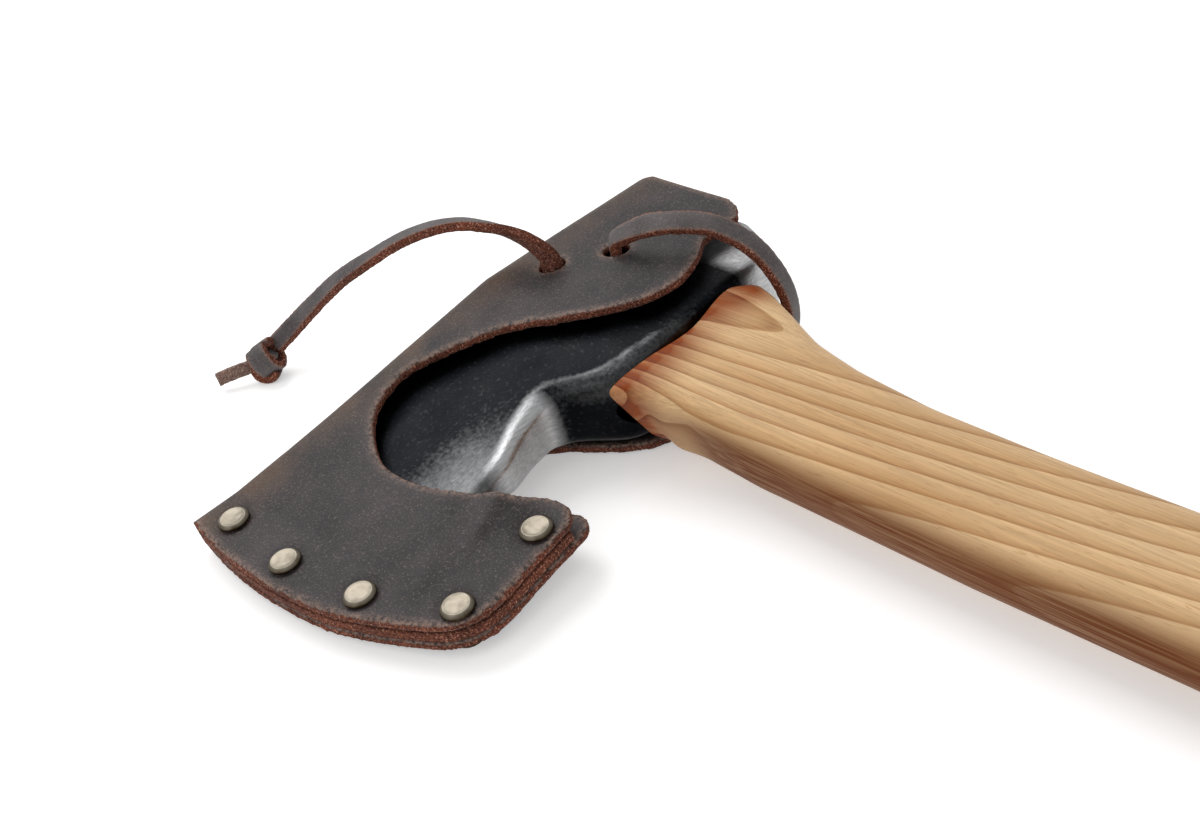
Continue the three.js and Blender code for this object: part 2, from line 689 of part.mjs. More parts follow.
// ---- rest: the sheath's front border, its knee and the handle's butt touch the table ----
function pointsOf(names, wanted) {
  const points = [];
  for (const name of names) {
    const mesh = meshes[name];
    mesh.updateMatrix();
    const position = mesh.geometry.attributes.position;
    for (let i = 0; i < position.count; i++) {
      const point = new THREE.Vector3().fromBufferAttribute(position, i).applyMatrix4(mesh.matrix);
      if (wanted(point)) points.push(point);
    }
  }
  return points;
}
const contacts = [
  pointsOf(['sheath_leather', 'rivet_back_1', 'rivet_back_2', 'rivet_back_3'], (p) => p.y < 0),
  pointsOf(['sheath_leather'], (p) => p.y > kneePlace / 2),
  pointsOf(['handle'], (p) => p.x > handleEnd / 2),
];
const lowest = (points, turn) => points
  .map((p) => p.clone().applyQuaternion(turn))
  .reduce((a, b) => (b.z < a.z ? b : a));
const rest = new THREE.Quaternion();
for (let i = 0; i < 12; i++) {
  const [front, knee, butt] = contacts.map((points) => lowest(points, rest));
  const up = butt.sub(front).cross(knee.sub(front)).normalize();
  rest.premultiply(new THREE.Quaternion().setFromUnitVectors(up, new THREE.Vector3(0, 0, 1)));
}
axe.quaternion.copy(rest);

// the origin is under the middle of the box, on the table; the free lace doesn't count
axe.updateMatrixWorld(true);
const box = new THREE.Box3();
for (const mesh of axe.children) {
  if (!['lace_free', 'lace_knot', 'lace_tail'].includes(mesh.name)) box.expandByObject(mesh, true);
}
const middle = box.getCenter(new THREE.Vector3());
axe.position.set(-middle.x, -middle.y, -box.min.z);

const part = new THREE.Group();
part.add(axe);
export default part;
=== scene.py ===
# %% [markdown]
# # A forged hatchet in its leather sheath
# The CAD model already holds the size, the place and the joints of every piece. This lesson gives each piece
# the surface that it has in the hand: a hide that is thick and soft at its edges, a head that came off a
# hammer, a handle of hickory with its growth rings, and a lace that was cut from the same hide.

# %% Load the frame
import json
import math

import bmesh
import bpy
import numpy as np
from mathutils import Matrix, Vector, noise
from mathutils.kdtree import KDTree


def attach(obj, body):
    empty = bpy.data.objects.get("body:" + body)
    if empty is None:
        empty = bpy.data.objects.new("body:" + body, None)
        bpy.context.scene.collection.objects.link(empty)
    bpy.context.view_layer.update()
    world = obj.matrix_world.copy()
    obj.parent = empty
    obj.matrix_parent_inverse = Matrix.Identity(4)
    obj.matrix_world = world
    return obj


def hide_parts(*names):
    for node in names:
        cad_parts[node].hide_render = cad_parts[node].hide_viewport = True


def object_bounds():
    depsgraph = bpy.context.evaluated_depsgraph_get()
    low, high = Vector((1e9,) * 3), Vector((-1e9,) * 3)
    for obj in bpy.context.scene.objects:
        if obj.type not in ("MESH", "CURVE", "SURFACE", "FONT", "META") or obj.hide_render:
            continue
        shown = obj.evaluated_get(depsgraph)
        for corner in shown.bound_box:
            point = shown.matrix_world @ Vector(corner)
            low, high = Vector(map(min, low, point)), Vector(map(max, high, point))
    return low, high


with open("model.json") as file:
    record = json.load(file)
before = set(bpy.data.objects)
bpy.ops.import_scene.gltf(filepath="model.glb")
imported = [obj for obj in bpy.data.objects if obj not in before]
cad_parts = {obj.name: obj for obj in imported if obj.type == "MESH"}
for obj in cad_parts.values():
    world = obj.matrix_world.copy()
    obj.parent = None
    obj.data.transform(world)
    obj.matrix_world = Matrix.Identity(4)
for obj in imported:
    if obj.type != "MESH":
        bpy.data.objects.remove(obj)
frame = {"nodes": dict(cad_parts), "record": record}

cad_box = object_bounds()
print("CAD box", [round(x, 4) for corner in cad_box for x in corner])

# %% [markdown]
# ## The bench
# The hatchet lies tipped, so its own directions are a few degrees off the frame's. Every piece is made on a
# bench instead, in millimetres, with X down the handle, Y from the cutting edge to the poll and Z up through
# the cheek. The record's two flat faces give those directions, and one
# matrix lays a finished piece in the frame. The mesh is moved and not the object, so each object stays at
# the origin.

# %% The bench's directions
MM = 0.001
mounts = {m["name"]: m for m in frame["record"]["mounts"]}
HEAD_LENGTH = 145  # cutting edge to poll
HEAD_DROP = 69  # top line's start to the underside at the eye
LEAN = 0.107  # fall of the head's top line, per mm
POLL_MIDDLE = 38  # where the poll's mount sits, down from the head's top line
down_handle = Vector(mounts["butt_face"]["axis"]).normalized()
to_poll = Vector(mounts["poll_face"]["axis"]).normalized()
through = down_handle.cross(to_poll)
turned = Matrix((down_handle, to_poll, through)).transposed().to_4x4()
corner = Vector(mounts["poll_face"]["pos_m"]) - turned @ (Vector((POLL_MIDDLE, HEAD_LENGTH, 0)) * MM)
AXE = Matrix.Translation(corner) @ turned
BENCH = AXE @ Matrix.Scale(MM, 4)
print("axe tipped by", round(math.degrees(through.angle(Vector((0, 0, 1)))), 1), "degrees")


def on_bench(node):
    """A CAD node's box in the bench's millimetres: its lowest and its highest corner."""
    back = BENCH.inverted()
    points = np.array([back @ v.co for v in frame["nodes"][node].data.vertices])
    return Vector(points.min(0)), Vector(points.max(0))


def place_new(name, data):
    """A new object in the scene that holds this mesh, camera or lamp."""
    made = bpy.data.objects.new(name, data)
    bpy.context.scene.collection.objects.link(made)
    return made


# %% [markdown]
# ## The camera
# A camera is easier to read as a place, a point that it looks at and a roll than as a matrix. It stands over
# the edge side of the hatchet, close enough for the head to fill the view and the handle to leave it. A 45 mm
# lens on a 36 mm sensor is the plain, slightly long lens of product work.

# %% Camera
STAND = (309.6, -88.9, 237.0)
AIM = (60.5, 76.4, 0)
ROLL = -18.4  # degrees, against the bench's upright

camera_data = bpy.data.cameras.new("camera")
camera_data.lens = 45
camera_data.sensor_width = 36
camera_data.clip_start = 0.01
camera = place_new("camera", camera_data)
look = (Vector(AIM) - Vector(STAND)).to_track_quat("-Z", "Y").to_matrix().to_4x4()
roll = Matrix.Rotation(math.radians(ROLL), 4, "Z")
camera.matrix_world = AXE @ Matrix.Translation(Vector(STAND) * MM) @ look @ roll
bpy.context.scene.camera = camera

# %% [markdown]
# ## Small tools for making pieces
# Each of these does one job that comes back for most pieces: to start with nothing selected, to apply a
# modifier, to write a number on every vertex that a material reads later, and to tie a piece to the model.

# %% Tools for pieces
def nothing_selected():
    """Operators act on all that is selected, so each piece starts with nothing selected."""
    if bpy.context.object and bpy.context.object.mode != "OBJECT":
        bpy.ops.object.mode_set(mode="OBJECT")
    bpy.ops.object.select_all(action="DESELECT")


def take_up(piece):
    nothing_selected()
    piece.select_set(True)
    bpy.context.view_layer.objects.active = piece


def apply_modifier(piece, kind, **settings):
    """Adds a modifier and applies it at once, so that the finished mesh is plain."""
    take_up(piece)
    modifier = piece.modifiers.new(kind.lower(), kind)
    for name, value in settings.items():
        setattr(modifier, name, value)
    bpy.ops.object.modifier_apply(modifier=modifier.name)


def cut_with(piece, tool, operation):
    """Joins a tool to a piece, or cuts the piece with it, and throws the tool away."""
    apply_modifier(piece, "BOOLEAN", object=tool, operation=operation, solver="EXACT")
    bpy.data.objects.remove(tool)


def points_of(piece):
    found = np.zeros(len(piece.data.vertices) * 3, np.float32)
    piece.data.vertices.foreach_get("co", found)
    return found.reshape(-1, 3).astype(float)


def normals_of(piece):
    found = np.zeros(len(piece.data.vertices) * 3, np.float32)
    piece.data.vertices.foreach_get("normal", found)
    return found.reshape(-1, 3).astype(float)


def move_points(piece, points):
    piece.data.vertices.foreach_set("co", points.astype(np.float32).ravel())
    piece.data.update()


def paint(piece, name, values):
    """Writes one number on every vertex, for the piece's material to read."""
    layer = piece.data.attributes.new(name, "FLOAT", "POINT")
    layer.data.foreach_set("value", np.clip(values, 0, 1).astype(np.float32))


def remember_place(piece):
    """Writes each vertex's place on the bench, in metres, for a pattern along the bench's directions."""
    layer = piece.data.attributes.new("bench", "FLOAT_VECTOR", "POINT")
    layer.data.foreach_set("vector", (points_of(piece) * MM).astype(np.float32).ravel())


def smooth_step(value, low, high):
    share = np.clip((value - low) / (high - low), 0, 1)
    return share * share * (3 - 2 * share)


def ripple(points, size, seed=0.0):
    """Soft noise from -1 to 1 at each point; size is how far apart its humps are, in millimetres."""
    shift = Vector((seed, seed * 1.7, seed * 2.3))
    return np.array([noise.noise(Vector(p) / size + shift) for p in points])


def shade(piece, degrees=180):
    take_up(piece)
    bpy.ops.object.shade_smooth_by_angle(angle=math.radians(degrees))


def hand_over(piece, material, body, slot, *nodes):
    """Lays a finished piece in the frame, gives it its finish and body, and hides the CAD nodes it stands
    for.
    """
    piece.data.transform(BENCH)
    piece.data.materials.clear()
    piece.data.materials.append(material)
    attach(piece, body)
    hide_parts(*nodes)
    print(piece.name, len(piece.data.vertices), "vertices")
    return piece


# %% [markdown]
# ## Small tools for finishes
# Colours are written as a painter picks them, in sRGB hex, and turned to the linear numbers that a shader
# needs. One function adds a node, sets it and links it.

# %% Tools for finishes
def colour(code):
    channels = [int(code[i:i + 2], 16) / 255 for i in (1, 3, 5)]
    linear = [c / 12.92 if c <= 0.04045 else ((c + 0.055) / 1.055) ** 2.4 for c in channels]
    return (*linear, 1.0)


def node(tree, kind, sockets=None, out=0, **settings):
    """Adds one node and gives its output. settings are its own choices, sockets its inputs or links."""
    made = tree.nodes.new(kind)
    for name, value in settings.items():
        setattr(made, name, value)
    for key, value in (sockets or {}).items():
        if isinstance(value, bpy.types.NodeSocket):
            tree.links.new(value, made.inputs[key])
        else:
            made.inputs[key].default_value = value
    return made.outputs[out]


def finish_called(name, **values):
    """A new material with its shader, whose plain values are set on the shader itself."""
    material = bpy.data.materials.new(name)
    material.use_nodes = True
    tree = material.node_tree
    shader = tree.nodes["Principled BSDF"]
    for key, value in values.items():
        shader.inputs[key.replace("_", " ").title().replace("Ior", "IOR")].default_value = value
    return material, tree, shader


MIX = "ShaderNodeMix"
MATH = "ShaderNodeMath"
RANGE = "ShaderNodeMapRange"
NOISE = "ShaderNodeTexNoise"
ATTRIBUTE = "ShaderNodeAttribute"
MAPPING = "ShaderNodeMapping"
PLACE = "ShaderNodeTexCoord"
BUMP = "ShaderNodeBump"
COLOURS = {"data_type": "RGBA", "out": 2}  # makes a Mix node mix colours

# %% [markdown]
# ## Oiled leather
# The sheath is a thick vegetable-tanned hide, dyed nearly black and oiled. Its grain has pale specks about
# half a millimetre across and clouds of lighter and darker oil, and where hands rub it, along the fold and
# the rims, the brown comes back. The cut edge was never dyed: it is red-brown fibre with pinkish ends and
# dark pits. One material holds both, and three numbers on each vertex say where the cut, the worn rim and the
# fold are, because those follow the hide's cut.

# %% Oiled leather
GRAIN_SPECK = 0.55  # mm between the pale specks of the grain
FIBRE = 0.5  # mm, a tuft of fibre in a cut edge
CLOUD = 13  # mm, a cloud of oil
FIBRES = ("#240c06", "#80432c", "#dcae96")  # pit, tuft and bleached end of a cut edge
SPECK_COLOUR = "#8f8079"
RIM_COLOUR = "#8d7467"


def leather_finish(name, grain_dark, grain_light, worn, always_cut=0.0, fibres=FIBRES):
    material, tree, shader = finish_called(name, roughness=0.6, specular_ior_level=0.32)
    place = node(tree, PLACE, out="Object")
    cut, rim, fold = [node(tree, ATTRIBUTE, attribute_name=kind, out="Fac")
                      for kind in ("cut", "rim", "fold")]

    clouds, pores, specks, tufts = [
        node(tree, NOISE, {"Vector": place, "Scale": 1 / (size * MM), "Detail": detail, "Roughness": rough})
        for size, detail, rough in ((CLOUD, 4.0, 0.5), (GRAIN_SPECK * 2, 3.0, 0.7), (GRAIN_SPECK, 2.0, 0.8),
                                    (FIBRE, 3.0, 0.75))]

    cloudy = node(tree, RANGE, {"Value": clouds, "From Min": 0.36, "From Max": 0.68})
    grain = node(tree, MIX, {0: cloudy, 6: colour(grain_dark), 7: colour(grain_light)}, **COLOURS)
    warm = node(tree, RANGE, {"Value": clouds, "From Min": 0.3, "From Max": 0.6})
    warm = node(tree, MATH, {0: fold, 1: warm}, operation="MULTIPLY")
    grain = node(tree, MIX, {0: warm, 6: grain, 7: colour(worn)}, **COLOURS)
    speck_mask = node(tree, RANGE, {"Value": specks, "From Min": 0.54, "From Max": 0.72,
                                    "To Max": 0.42})
    grain = node(tree, MIX, {0: speck_mask, 6: grain, 7: colour(SPECK_COLOUR)}, **COLOURS)
    rubbed = node(tree, RANGE, {"Value": pores, "From Min": 0.35, "From Max": 0.6})
    rubbed = node(tree, MATH, {0: rim, 1: rubbed}, operation="MULTIPLY")
    grain = node(tree, MIX, {0: rubbed, 6: grain, 7: colour(RIM_COLOUR)}, **COLOURS)

    tufty = node(tree, RANGE, {"Value": tufts, "From Min": 0.36, "From Max": 0.56})
    fibre = node(tree, MIX, {0: tufty, 6: colour(fibres[0]), 7: colour(fibres[1])}, **COLOURS)
    pale = node(tree, RANGE, {"Value": tufts, "From Min": 0.57, "From Max": 0.7})
    fibre = node(tree, MIX, {0: pale, 6: fibre, 7: colour(fibres[2])}, **COLOURS)
    dusk = node(tree, RANGE, {"Value": clouds, "From Min": 0.3, "From Max": 0.62, "To Min": 0.55})
    fibre = node(tree, MIX, {0: 1.0, 6: fibre, 7: dusk}, **COLOURS, blend_type="MULTIPLY")

    edge = node(tree, MATH, {0: cut, 1: always_cut}, operation="MAXIMUM")
    skin = node(tree, MIX, {0: edge, 6: grain, 7: fibre}, **COLOURS)
    tree.links.new(skin, shader.inputs["Base Color"])
    rough = node(tree, RANGE, {"Value": pores, "To Min": 0.42, "To Max": 0.68})
    rough = node(tree, MIX, {0: edge, 2: rough, 3: 0.92})
    tree.links.new(rough, shader.inputs["Roughness"])

    fine = node(tree, BUMP, {"Height": specks, "Strength": 0.6, "Distance": 0.00012})
    grainy = node(tree, BUMP, {"Height": pores, "Strength": 0.7, "Distance": 0.00022,
                                           "Normal": fine})
    shaggy = node(tree, BUMP, {"Height": tufts, "Strength": edge, "Distance": 0.0005,
                                           "Normal": grainy})
    tree.links.new(shaggy, shader.inputs["Normal"])
    return material


oiled_leather = leather_finish("oiled_vegetable_tanned_leather", "#1a1618", "#332c2e", "#4a3628")
edge_leather = leather_finish("cut_edge_of_leather", "#2b1a15", "#4a3027", "#5a4638", always_cut=0.85)
lace_leather = leather_finish("lace_leather", "#3a3436", "#55504f", "#6a5243")
raw_lace = leather_finish("raw_end_of_lace", "#6e5a50", "#94807a", "#8a7264",
                          fibres=("#5a4038", "#947668", "#cdb8ae"))

# %% [markdown]
# ## Forged steel
# The head was hammered hot and then oiled, so most of it wears black scale with a blue sheen. Bare steel
# shows where it was ground or knocked: along the beard, on the eye's rims and in a rough patch at the poll.
# The same grey is also painted light: a painted reflection on the cheek's lower front, and a lug that is grey
# on its upper side and left black below as painted shade. Scale and bare metal differ in colour and in gloss,
# so one number on each vertex mixes two sets of values.

# %% Forged steel
SCALE_PIT = 1.1  # mm, pits of the scale
GRIND = 0.5  # mm between grinding scratches


def forged_finish():
    material, tree, shader = finish_called("forged_steel_with_scale", metallic=1.0, roughness=0.4)
    place = node(tree, PLACE, out="Object")
    bare_steel_and_painted_light = node(tree, ATTRIBUTE, attribute_name="bare_steel_and_painted_light", out="Fac")
    clouds = node(tree, NOISE, {"Vector": place, "Scale": 1 / (9 * MM), "Detail": 5.0})
    pits = node(tree, NOISE, {"Vector": place, "Scale": 1 / (SCALE_PIT * MM), "Detail": 4.0,
                              "Roughness": 0.65})
    drawn = node(tree, MAPPING, {"Vector": place, "Scale": (1.0, 0.12, 1.0)})
    scratches = node(tree, NOISE, {"Vector": drawn, "Scale": 1 / (GRIND * MM), "Detail": 2.0})

    scale = node(tree, MIX, {0: clouds, 6: colour("#030304"), 7: colour("#14161a")}, **COLOURS)
    steel = node(tree, MIX, {0: scratches, 6: colour("#7c7d81"), 7: colour("#c4c4c3")}, **COLOURS)
    ragged = node(tree, RANGE, {"Value": pits, "From Min": 0.3, "From Max": 0.7, "To Min": -0.04,
                                "To Max": 0.05})
    ragged = node(tree, MATH, {0: bare_steel_and_painted_light, 1: ragged}, operation="ADD")
    mask = node(tree, RANGE, {"Value": ragged, "From Min": 0.02, "From Max": 0.85})
    metal = node(tree, MIX, {0: mask, 6: scale, 7: steel}, **COLOURS)
    tree.links.new(metal, shader.inputs["Base Color"])
    dull = node(tree, RANGE, {"Value": clouds, "From Min": 0.3, "From Max": 0.7, "To Min": 0.3,
                              "To Max": 0.5})
    tree.links.new(node(tree, MIX, {0: mask, 2: dull, 3: 0.34}), shader.inputs["Roughness"])
    pitted = node(tree, BUMP, {"Height": pits, "Strength": 0.5, "Distance": 0.00025})
    ground = node(tree, MATH, {0: mask, 1: 0.35}, operation="MULTIPLY")
    scratched = node(tree, BUMP, {"Height": scratches, "Strength": ground, "Distance": 0.00012,
                                              "Normal": pitted})
    tree.links.new(scratched, shader.inputs["Normal"])
    return material


forged_steel = forged_finish()

# %% [markdown]
# ## Brass
# The rivets are brass caps, antiqued: polished on top, brown in the shoulder where no thumb reaches.

# %% Antiqued brass
def brass_finish():
    material, tree, shader = finish_called("antiqued_brass", metallic=1.0)
    place = node(tree, PLACE, out="Object")
    tarnish = node(tree, ATTRIBUTE, attribute_name="tarnish", out="Fac")
    smear = node(tree, NOISE, {"Vector": place, "Scale": 1 / (2.2 * MM), "Detail": 4.0})
    dents = node(tree, NOISE, {"Vector": place, "Scale": 1 / (3 * MM), "Detail": 1.0})
    dirty = node(tree, RANGE, {"Value": smear, "From Min": 0.4, "From Max": 0.75, "To Max": 0.4})
    dirty = node(tree, MATH, {0: tarnish, 1: dirty}, operation="ADD")
    face = node(tree, MIX, {0: dirty, 6: colour("#7f786c"), 7: colour("#3f3424")}, **COLOURS)
    tree.links.new(face, shader.inputs["Base Color"])
    tree.links.new(node(tree, RANGE, {"Value": dirty, "To Min": 0.36, "To Max": 0.5}),
                   shader.inputs["Roughness"])
    bump = node(tree, BUMP, {"Height": dents, "Strength": 0.4, "Distance": 0.0003})
    tree.links.new(bump, shader.inputs["Normal"])
    return material


brass = brass_finish()

# %% [markdown]
# ## Hickory
# A plank's figure is its growth rings cut by its surface, so the rings are made as they grew: pale cones
# about a pith that runs under the poll side and dives towards the butt. Each cone that leaves the flat face
# draws a pointed arch. Every ring starts pale and ends in a thin brown line. Hair-fine streaks run down the
# handle, and near the head the oil has pooled and scorched orange. The handle lies tipped, so every vertex
# remembers its place on the bench and the pattern reads that.

# %% Hickory
RING = 8.5  # mm to the first ring
CROWDING = 1.45  # later rings lie closer and closer, as an old tree grows them
PITH = (112, -3.2)  # Y and Z of the pith where the handle starts
THROUGH = 0.2  # how much the figure changes through the thickness
FIRST_ARCH = -0.5  # rings, so that the first arch ends a hand's breadth from the head
DIVE = 0.13  # how fast the pith dives towards the butt
STREAK = 0.55  # mm across a fine streak


def hickory_finish(name, pale, tan, line, scorched, remembers=True):
    material, tree, shader = finish_called(name, roughness=0.5, specular_ior_level=0.14)
    if remembers:
        bench = node(tree, ATTRIBUTE, attribute_name="bench", out="Vector")
    else:
        bench = node(tree, PLACE, out="Object")
    long_noise = node(tree, MAPPING, {"Vector": bench, "Scale": (0.12, 1.0, 1.0)})
    sway = node(tree, NOISE, {"Vector": long_noise, "Scale": 1 / (34 * MM), "Detail": 1.0})
    x, y, z = node(tree, "ShaderNodeSeparateXYZ", {0: bench}).node.outputs
    dive = node(tree, MATH, {0: x, 1: -DIVE, 2: (PITH[1] + DIVE * HEAD_DROP) * MM},
                operation="MULTIPLY_ADD")
    up = node(tree, MATH, {0: z, 1: THROUGH}, operation="MULTIPLY")
    up = node(tree, MATH, {0: up, 1: dive}, operation="SUBTRACT")
    side = node(tree, MATH, {0: y, 1: PITH[0] * MM}, operation="SUBTRACT")
    flat = node(tree, "ShaderNodeCombineXYZ", {0: up, 1: side})
    far = node(tree, "ShaderNodeVectorMath", {0: flat}, operation="LENGTH", out="Value")
    rings = node(tree, MATH, {0: far, 1: 1 / (RING * MM)}, operation="MULTIPLY")
    rings = node(tree, MATH, {0: rings, 1: CROWDING}, operation="POWER")
    rings = node(tree, MATH, {0: rings, 1: FIRST_ARCH}, operation="ADD")
    rings = node(tree, MATH, {0: sway, 1: 1.0, 2: rings}, operation="MULTIPLY_ADD")
    growth = node(tree, MATH, {0: rings}, operation="FRACT")
    late = node(tree, MATH, {0: growth, 1: 9.0}, operation="POWER")
    start = node(tree, RANGE, {"Value": growth, "From Min": 1.0, "From Max": 0.94})
    band = node(tree, MATH, {0: late, 1: start}, operation="MULTIPLY")

    hair = node(tree, MAPPING, {"Vector": bench, "Scale": (0.02, 1.0, 1.0)})
    streaks = node(tree, NOISE, {"Vector": hair, "Scale": 1 / (STREAK * MM), "Detail": 3.0})
    fleck = node(tree, MAPPING, {"Vector": bench, "Scale": (0.09, 1.0, 1.0)})
    flecks = node(tree, NOISE, {"Vector": fleck, "Scale": 1 / (0.35 * MM), "Detail": 1.0})
    tint = node(tree, NOISE, {"Vector": long_noise, "Scale": 1 / (11 * MM), "Detail": 3.0})

    aged = node(tree, RANGE, {"Value": tint, "From Min": 0.3, "From Max": 0.7, "To Max": 0.35})
    aged = node(tree, MATH, {0: growth, 1: 0.5, 2: aged}, operation="MULTIPLY_ADD")
    wood = node(tree, MIX, {0: aged, 6: colour(pale), 7: colour(tan)}, **COLOURS)
    lined = node(tree, RANGE, {"Value": band, "From Max": 0.6, "To Max": 0.42})
    wood = node(tree, MIX, {0: lined, 6: wood, 7: colour(line)}, **COLOURS)
    fine = node(tree, RANGE, {"Value": streaks, "From Min": 0.3, "From Max": 0.7, "To Min": 0.8,
                              "To Max": 1.1})
    wood = node(tree, MIX, {0: 1.0, 6: wood, 7: fine}, **COLOURS, blend_type="MULTIPLY")
    pore = node(tree, RANGE, {"Value": flecks, "From Min": 0.62, "From Max": 0.7, "To Max": 0.3})
    wood = node(tree, MIX, {0: pore, 6: wood, 7: colour("#8a5a34")}, **COLOURS)

    # painted shade and heartwood: the belly's lower side is mixed towards dark red-brown
    dark = node(tree, ATTRIBUTE, attribute_name="heartwood_and_painted_shade", out="Fac")
    heartwood_and_painted_shade = node(tree, RANGE, {"Value": streaks, "From Min": 0.25, "From Max": 0.6, "To Min": 0.65})
    heartwood_and_painted_shade = node(tree, MATH, {0: dark, 1: heartwood_and_painted_shade}, operation="MULTIPLY")
    wood = node(tree, MIX, {0: heartwood_and_painted_shade, 6: wood, 7: colour("#5e2c02")}, **COLOURS)
    burn = node(tree, ATTRIBUTE, attribute_name="scorch", out="Fac")
    blotch = node(tree, RANGE, {"Value": growth, "From Min": 0.15, "From Max": 0.6, "To Min": 0.75})
    pooled = node(tree, MATH, {0: burn, 1: blotch}, operation="MULTIPLY")
    patchy = node(tree, RANGE, {"Value": tint, "From Min": 0.3, "From Max": 0.55, "To Min": 0.6,
                                "To Max": 1.3})
    pooled = node(tree, MATH, {0: pooled, 1: patchy}, operation="MULTIPLY", use_clamp=True)
    wood = node(tree, MIX, {0: pooled, 6: wood, 7: colour(scorched)}, **COLOURS, blend_type="MULTIPLY")
    tree.links.new(wood, shader.inputs["Base Color"])
    rough = node(tree, RANGE, {"Value": streaks, "To Min": 0.42, "To Max": 0.62})
    tree.links.new(rough, shader.inputs["Roughness"])
    raised = node(tree, MATH, {0: streaks, 1: band}, operation="ADD")
    bump = node(tree, BUMP, {"Height": raised, "Strength": 0.22, "Distance": 0.00016})
    tree.links.new(bump, shader.inputs["Normal"])
    return material


hickory = hickory_finish("oiled_hickory", "#dab98e", "#ad7f4c", "#7a4518", "#aa621f")
sawn_wood = hickory_finish("sawn_hardwood", "#c9a274", "#b08352", "#8a5a30", "#aa621f", remembers=False)

# %% [markdown]
# ## A strap swept along a route
# The lace is a strip of hide with a smooth grain side, a rough back and two cut edges, so a round curve bevel
# won't do. Here a flat section is carried along a smooth route, and a second list says which way the strip's
# width lies. The section's own numbering tells the material where the cut edges are.

# %% Strap tool
LACE_WIDTH = 6.0  # drawn broader than the 4.6 mm strip it is measured as
LACE_THICK = 3.0
SECTION = 20  # points round the strap
SECTION_EVEN = 0.42  # 0 is a box, 1 an oval


def smooth_route(points, count):
    """Evenly spaced points on a smooth curve through the given ones, and the curve's length."""
    p = np.array(points, float)
    p = np.vstack([2 * p[0] - p[1], p, 2 * p[-1] - p[-2]])
    fine = []
    for i in range(1, len(p) - 2):
        a, b, c, d = p[i - 1:i + 3]
        for t in np.linspace(0, 1, 24, endpoint=False):
            fine.append(0.5 * (2 * b + (c - a) * t + (2 * a - 5 * b + 4 * c - d) * t ** 2
                               + (3 * b - 3 * c + d - a) * t ** 3))
    fine = np.array(fine + [p[-2]])
    run = np.concatenate([[0], np.cumsum(np.linalg.norm(np.diff(fine, axis=0), axis=1))])
    wanted = np.linspace(0, run[-1], count)
    return np.stack([np.interp(wanted, run, fine[:, k]) for k in range(3)], 1), run[-1]


def strap(name, route, across, count, width=LACE_WIDTH, thick=LACE_THICK, seed=1.0, ragged=0.16, start=1.0):
    """A flat strap along a route. across lists directions of its width, spread evenly from start to end."""
    line, length = smooth_route(route, count)
    ways = np.array(across, float).reshape(-1, 3)
    share = np.linspace(0, len(ways) - 1, count)
    wide = np.stack([np.interp(share, range(len(ways)), ways[:, k]) for k in range(3)], 1)
    tangent = np.gradient(line, axis=0)
    tangent /= np.linalg.norm(tangent, axis=1, keepdims=True)
    wide -= tangent * (wide * tangent).sum(1, keepdims=True)
    wide /= np.linalg.norm(wide, axis=1, keepdims=True)
    up = np.cross(tangent, wide)
    angles = (np.arange(SECTION) + 0.5) / SECTION * 2 * math.pi
    s = np.sign(np.cos(angles)) * np.abs(np.cos(angles)) ** SECTION_EVEN
    t = np.sign(np.sin(angles)) * np.abs(np.sin(angles)) ** SECTION_EVEN
    mesh = bmesh.new()
    rings = []
    for i in range(count):
        wobble = 1 + 0.05 * noise.noise(Vector((i * 0.13, seed, 0)))
        wobble *= start + (1 - start) * min(1, i / (0.14 * count))
        rings.append([mesh.verts.new(line[i] + wide[i] * s[k] * width / 2 * wobble + up[i] * t[k] * thick / 2)
                      for k in range(SECTION)])
    for a, b in zip(rings, rings[1:]):
        for k in range(SECTION):
            mesh.faces.new([a[k], a[(k + 1) % SECTION], b[(k + 1) % SECTION], b[k]])
    mesh.faces.new(list(reversed(rings[0])))
    mesh.faces.new(rings[-1])
    bmesh.ops.recalc_face_normals(mesh, faces=mesh.faces)
    data = bpy.data.meshes.new(name)
    mesh.to_mesh(data)
    mesh.free()
    piece = place_new(name, data)
    edge = smooth_step(np.abs(s), 0.8, 0.97)
    back = smooth_step(-t, 0.3, 0.8)
    cut = np.tile(np.maximum(edge, back * 0.9), count)
    rim = np.tile(np.exp(-((np.abs(s) - 0.86) / 0.12) ** 2) * (t > 0), count)
    points = points_of(piece)
    shaggy = ripple(points, 0.9, seed) + 0.6 * ripple(points, 0.45, seed + 3)
    move_points(piece, points + normals_of(piece) * (shaggy * (0.03 + ragged * cut))[:, None])
    paint(piece, "cut", cut)
    paint(piece, "rim", rim * 0.8)
    shade(piece, 60)
    return piece, line, length


# %% [markdown]
# ## The free end of the lace
# This is the one loose cord. It leaves its slot upwards, springs over the fold in an arch because oiled lace
# is stiff, and comes down to the table, where an overhand knot keeps it from slipping back. The knot is two
# turns of strap that lap over each other. The route follows the CAD's.

# %% Free lace, knot and tail
SLOT = (23.2, 101.2)  # the slot of the free end
SLOT_SPAN = 17.8
SLOT_TURN = 0.82  # radians from X
FREE_ROUTE = [
    (23.2, 101.2, 17.7), (22.6, 101.1, 20.3), (17.4, 99.8, 24.6), (11.8, 97.6, 27.4), (5.2, 94.8, 29),
    (-1.2, 92, 29.5), (-9.2, 88, 28.2), (-18.9, 83.1, 24.6), (-29.4, 77.5, 18.8), (-40.6, 71.4, 12),
    (-51.2, 64.8, 3.4), (-57.4, 58.6, -2.6), (-60.8, 52.7, -6.4),
]
KNOT = Vector((-60.5, 46.9, -8.8))
KNOT_RADIUS = 5

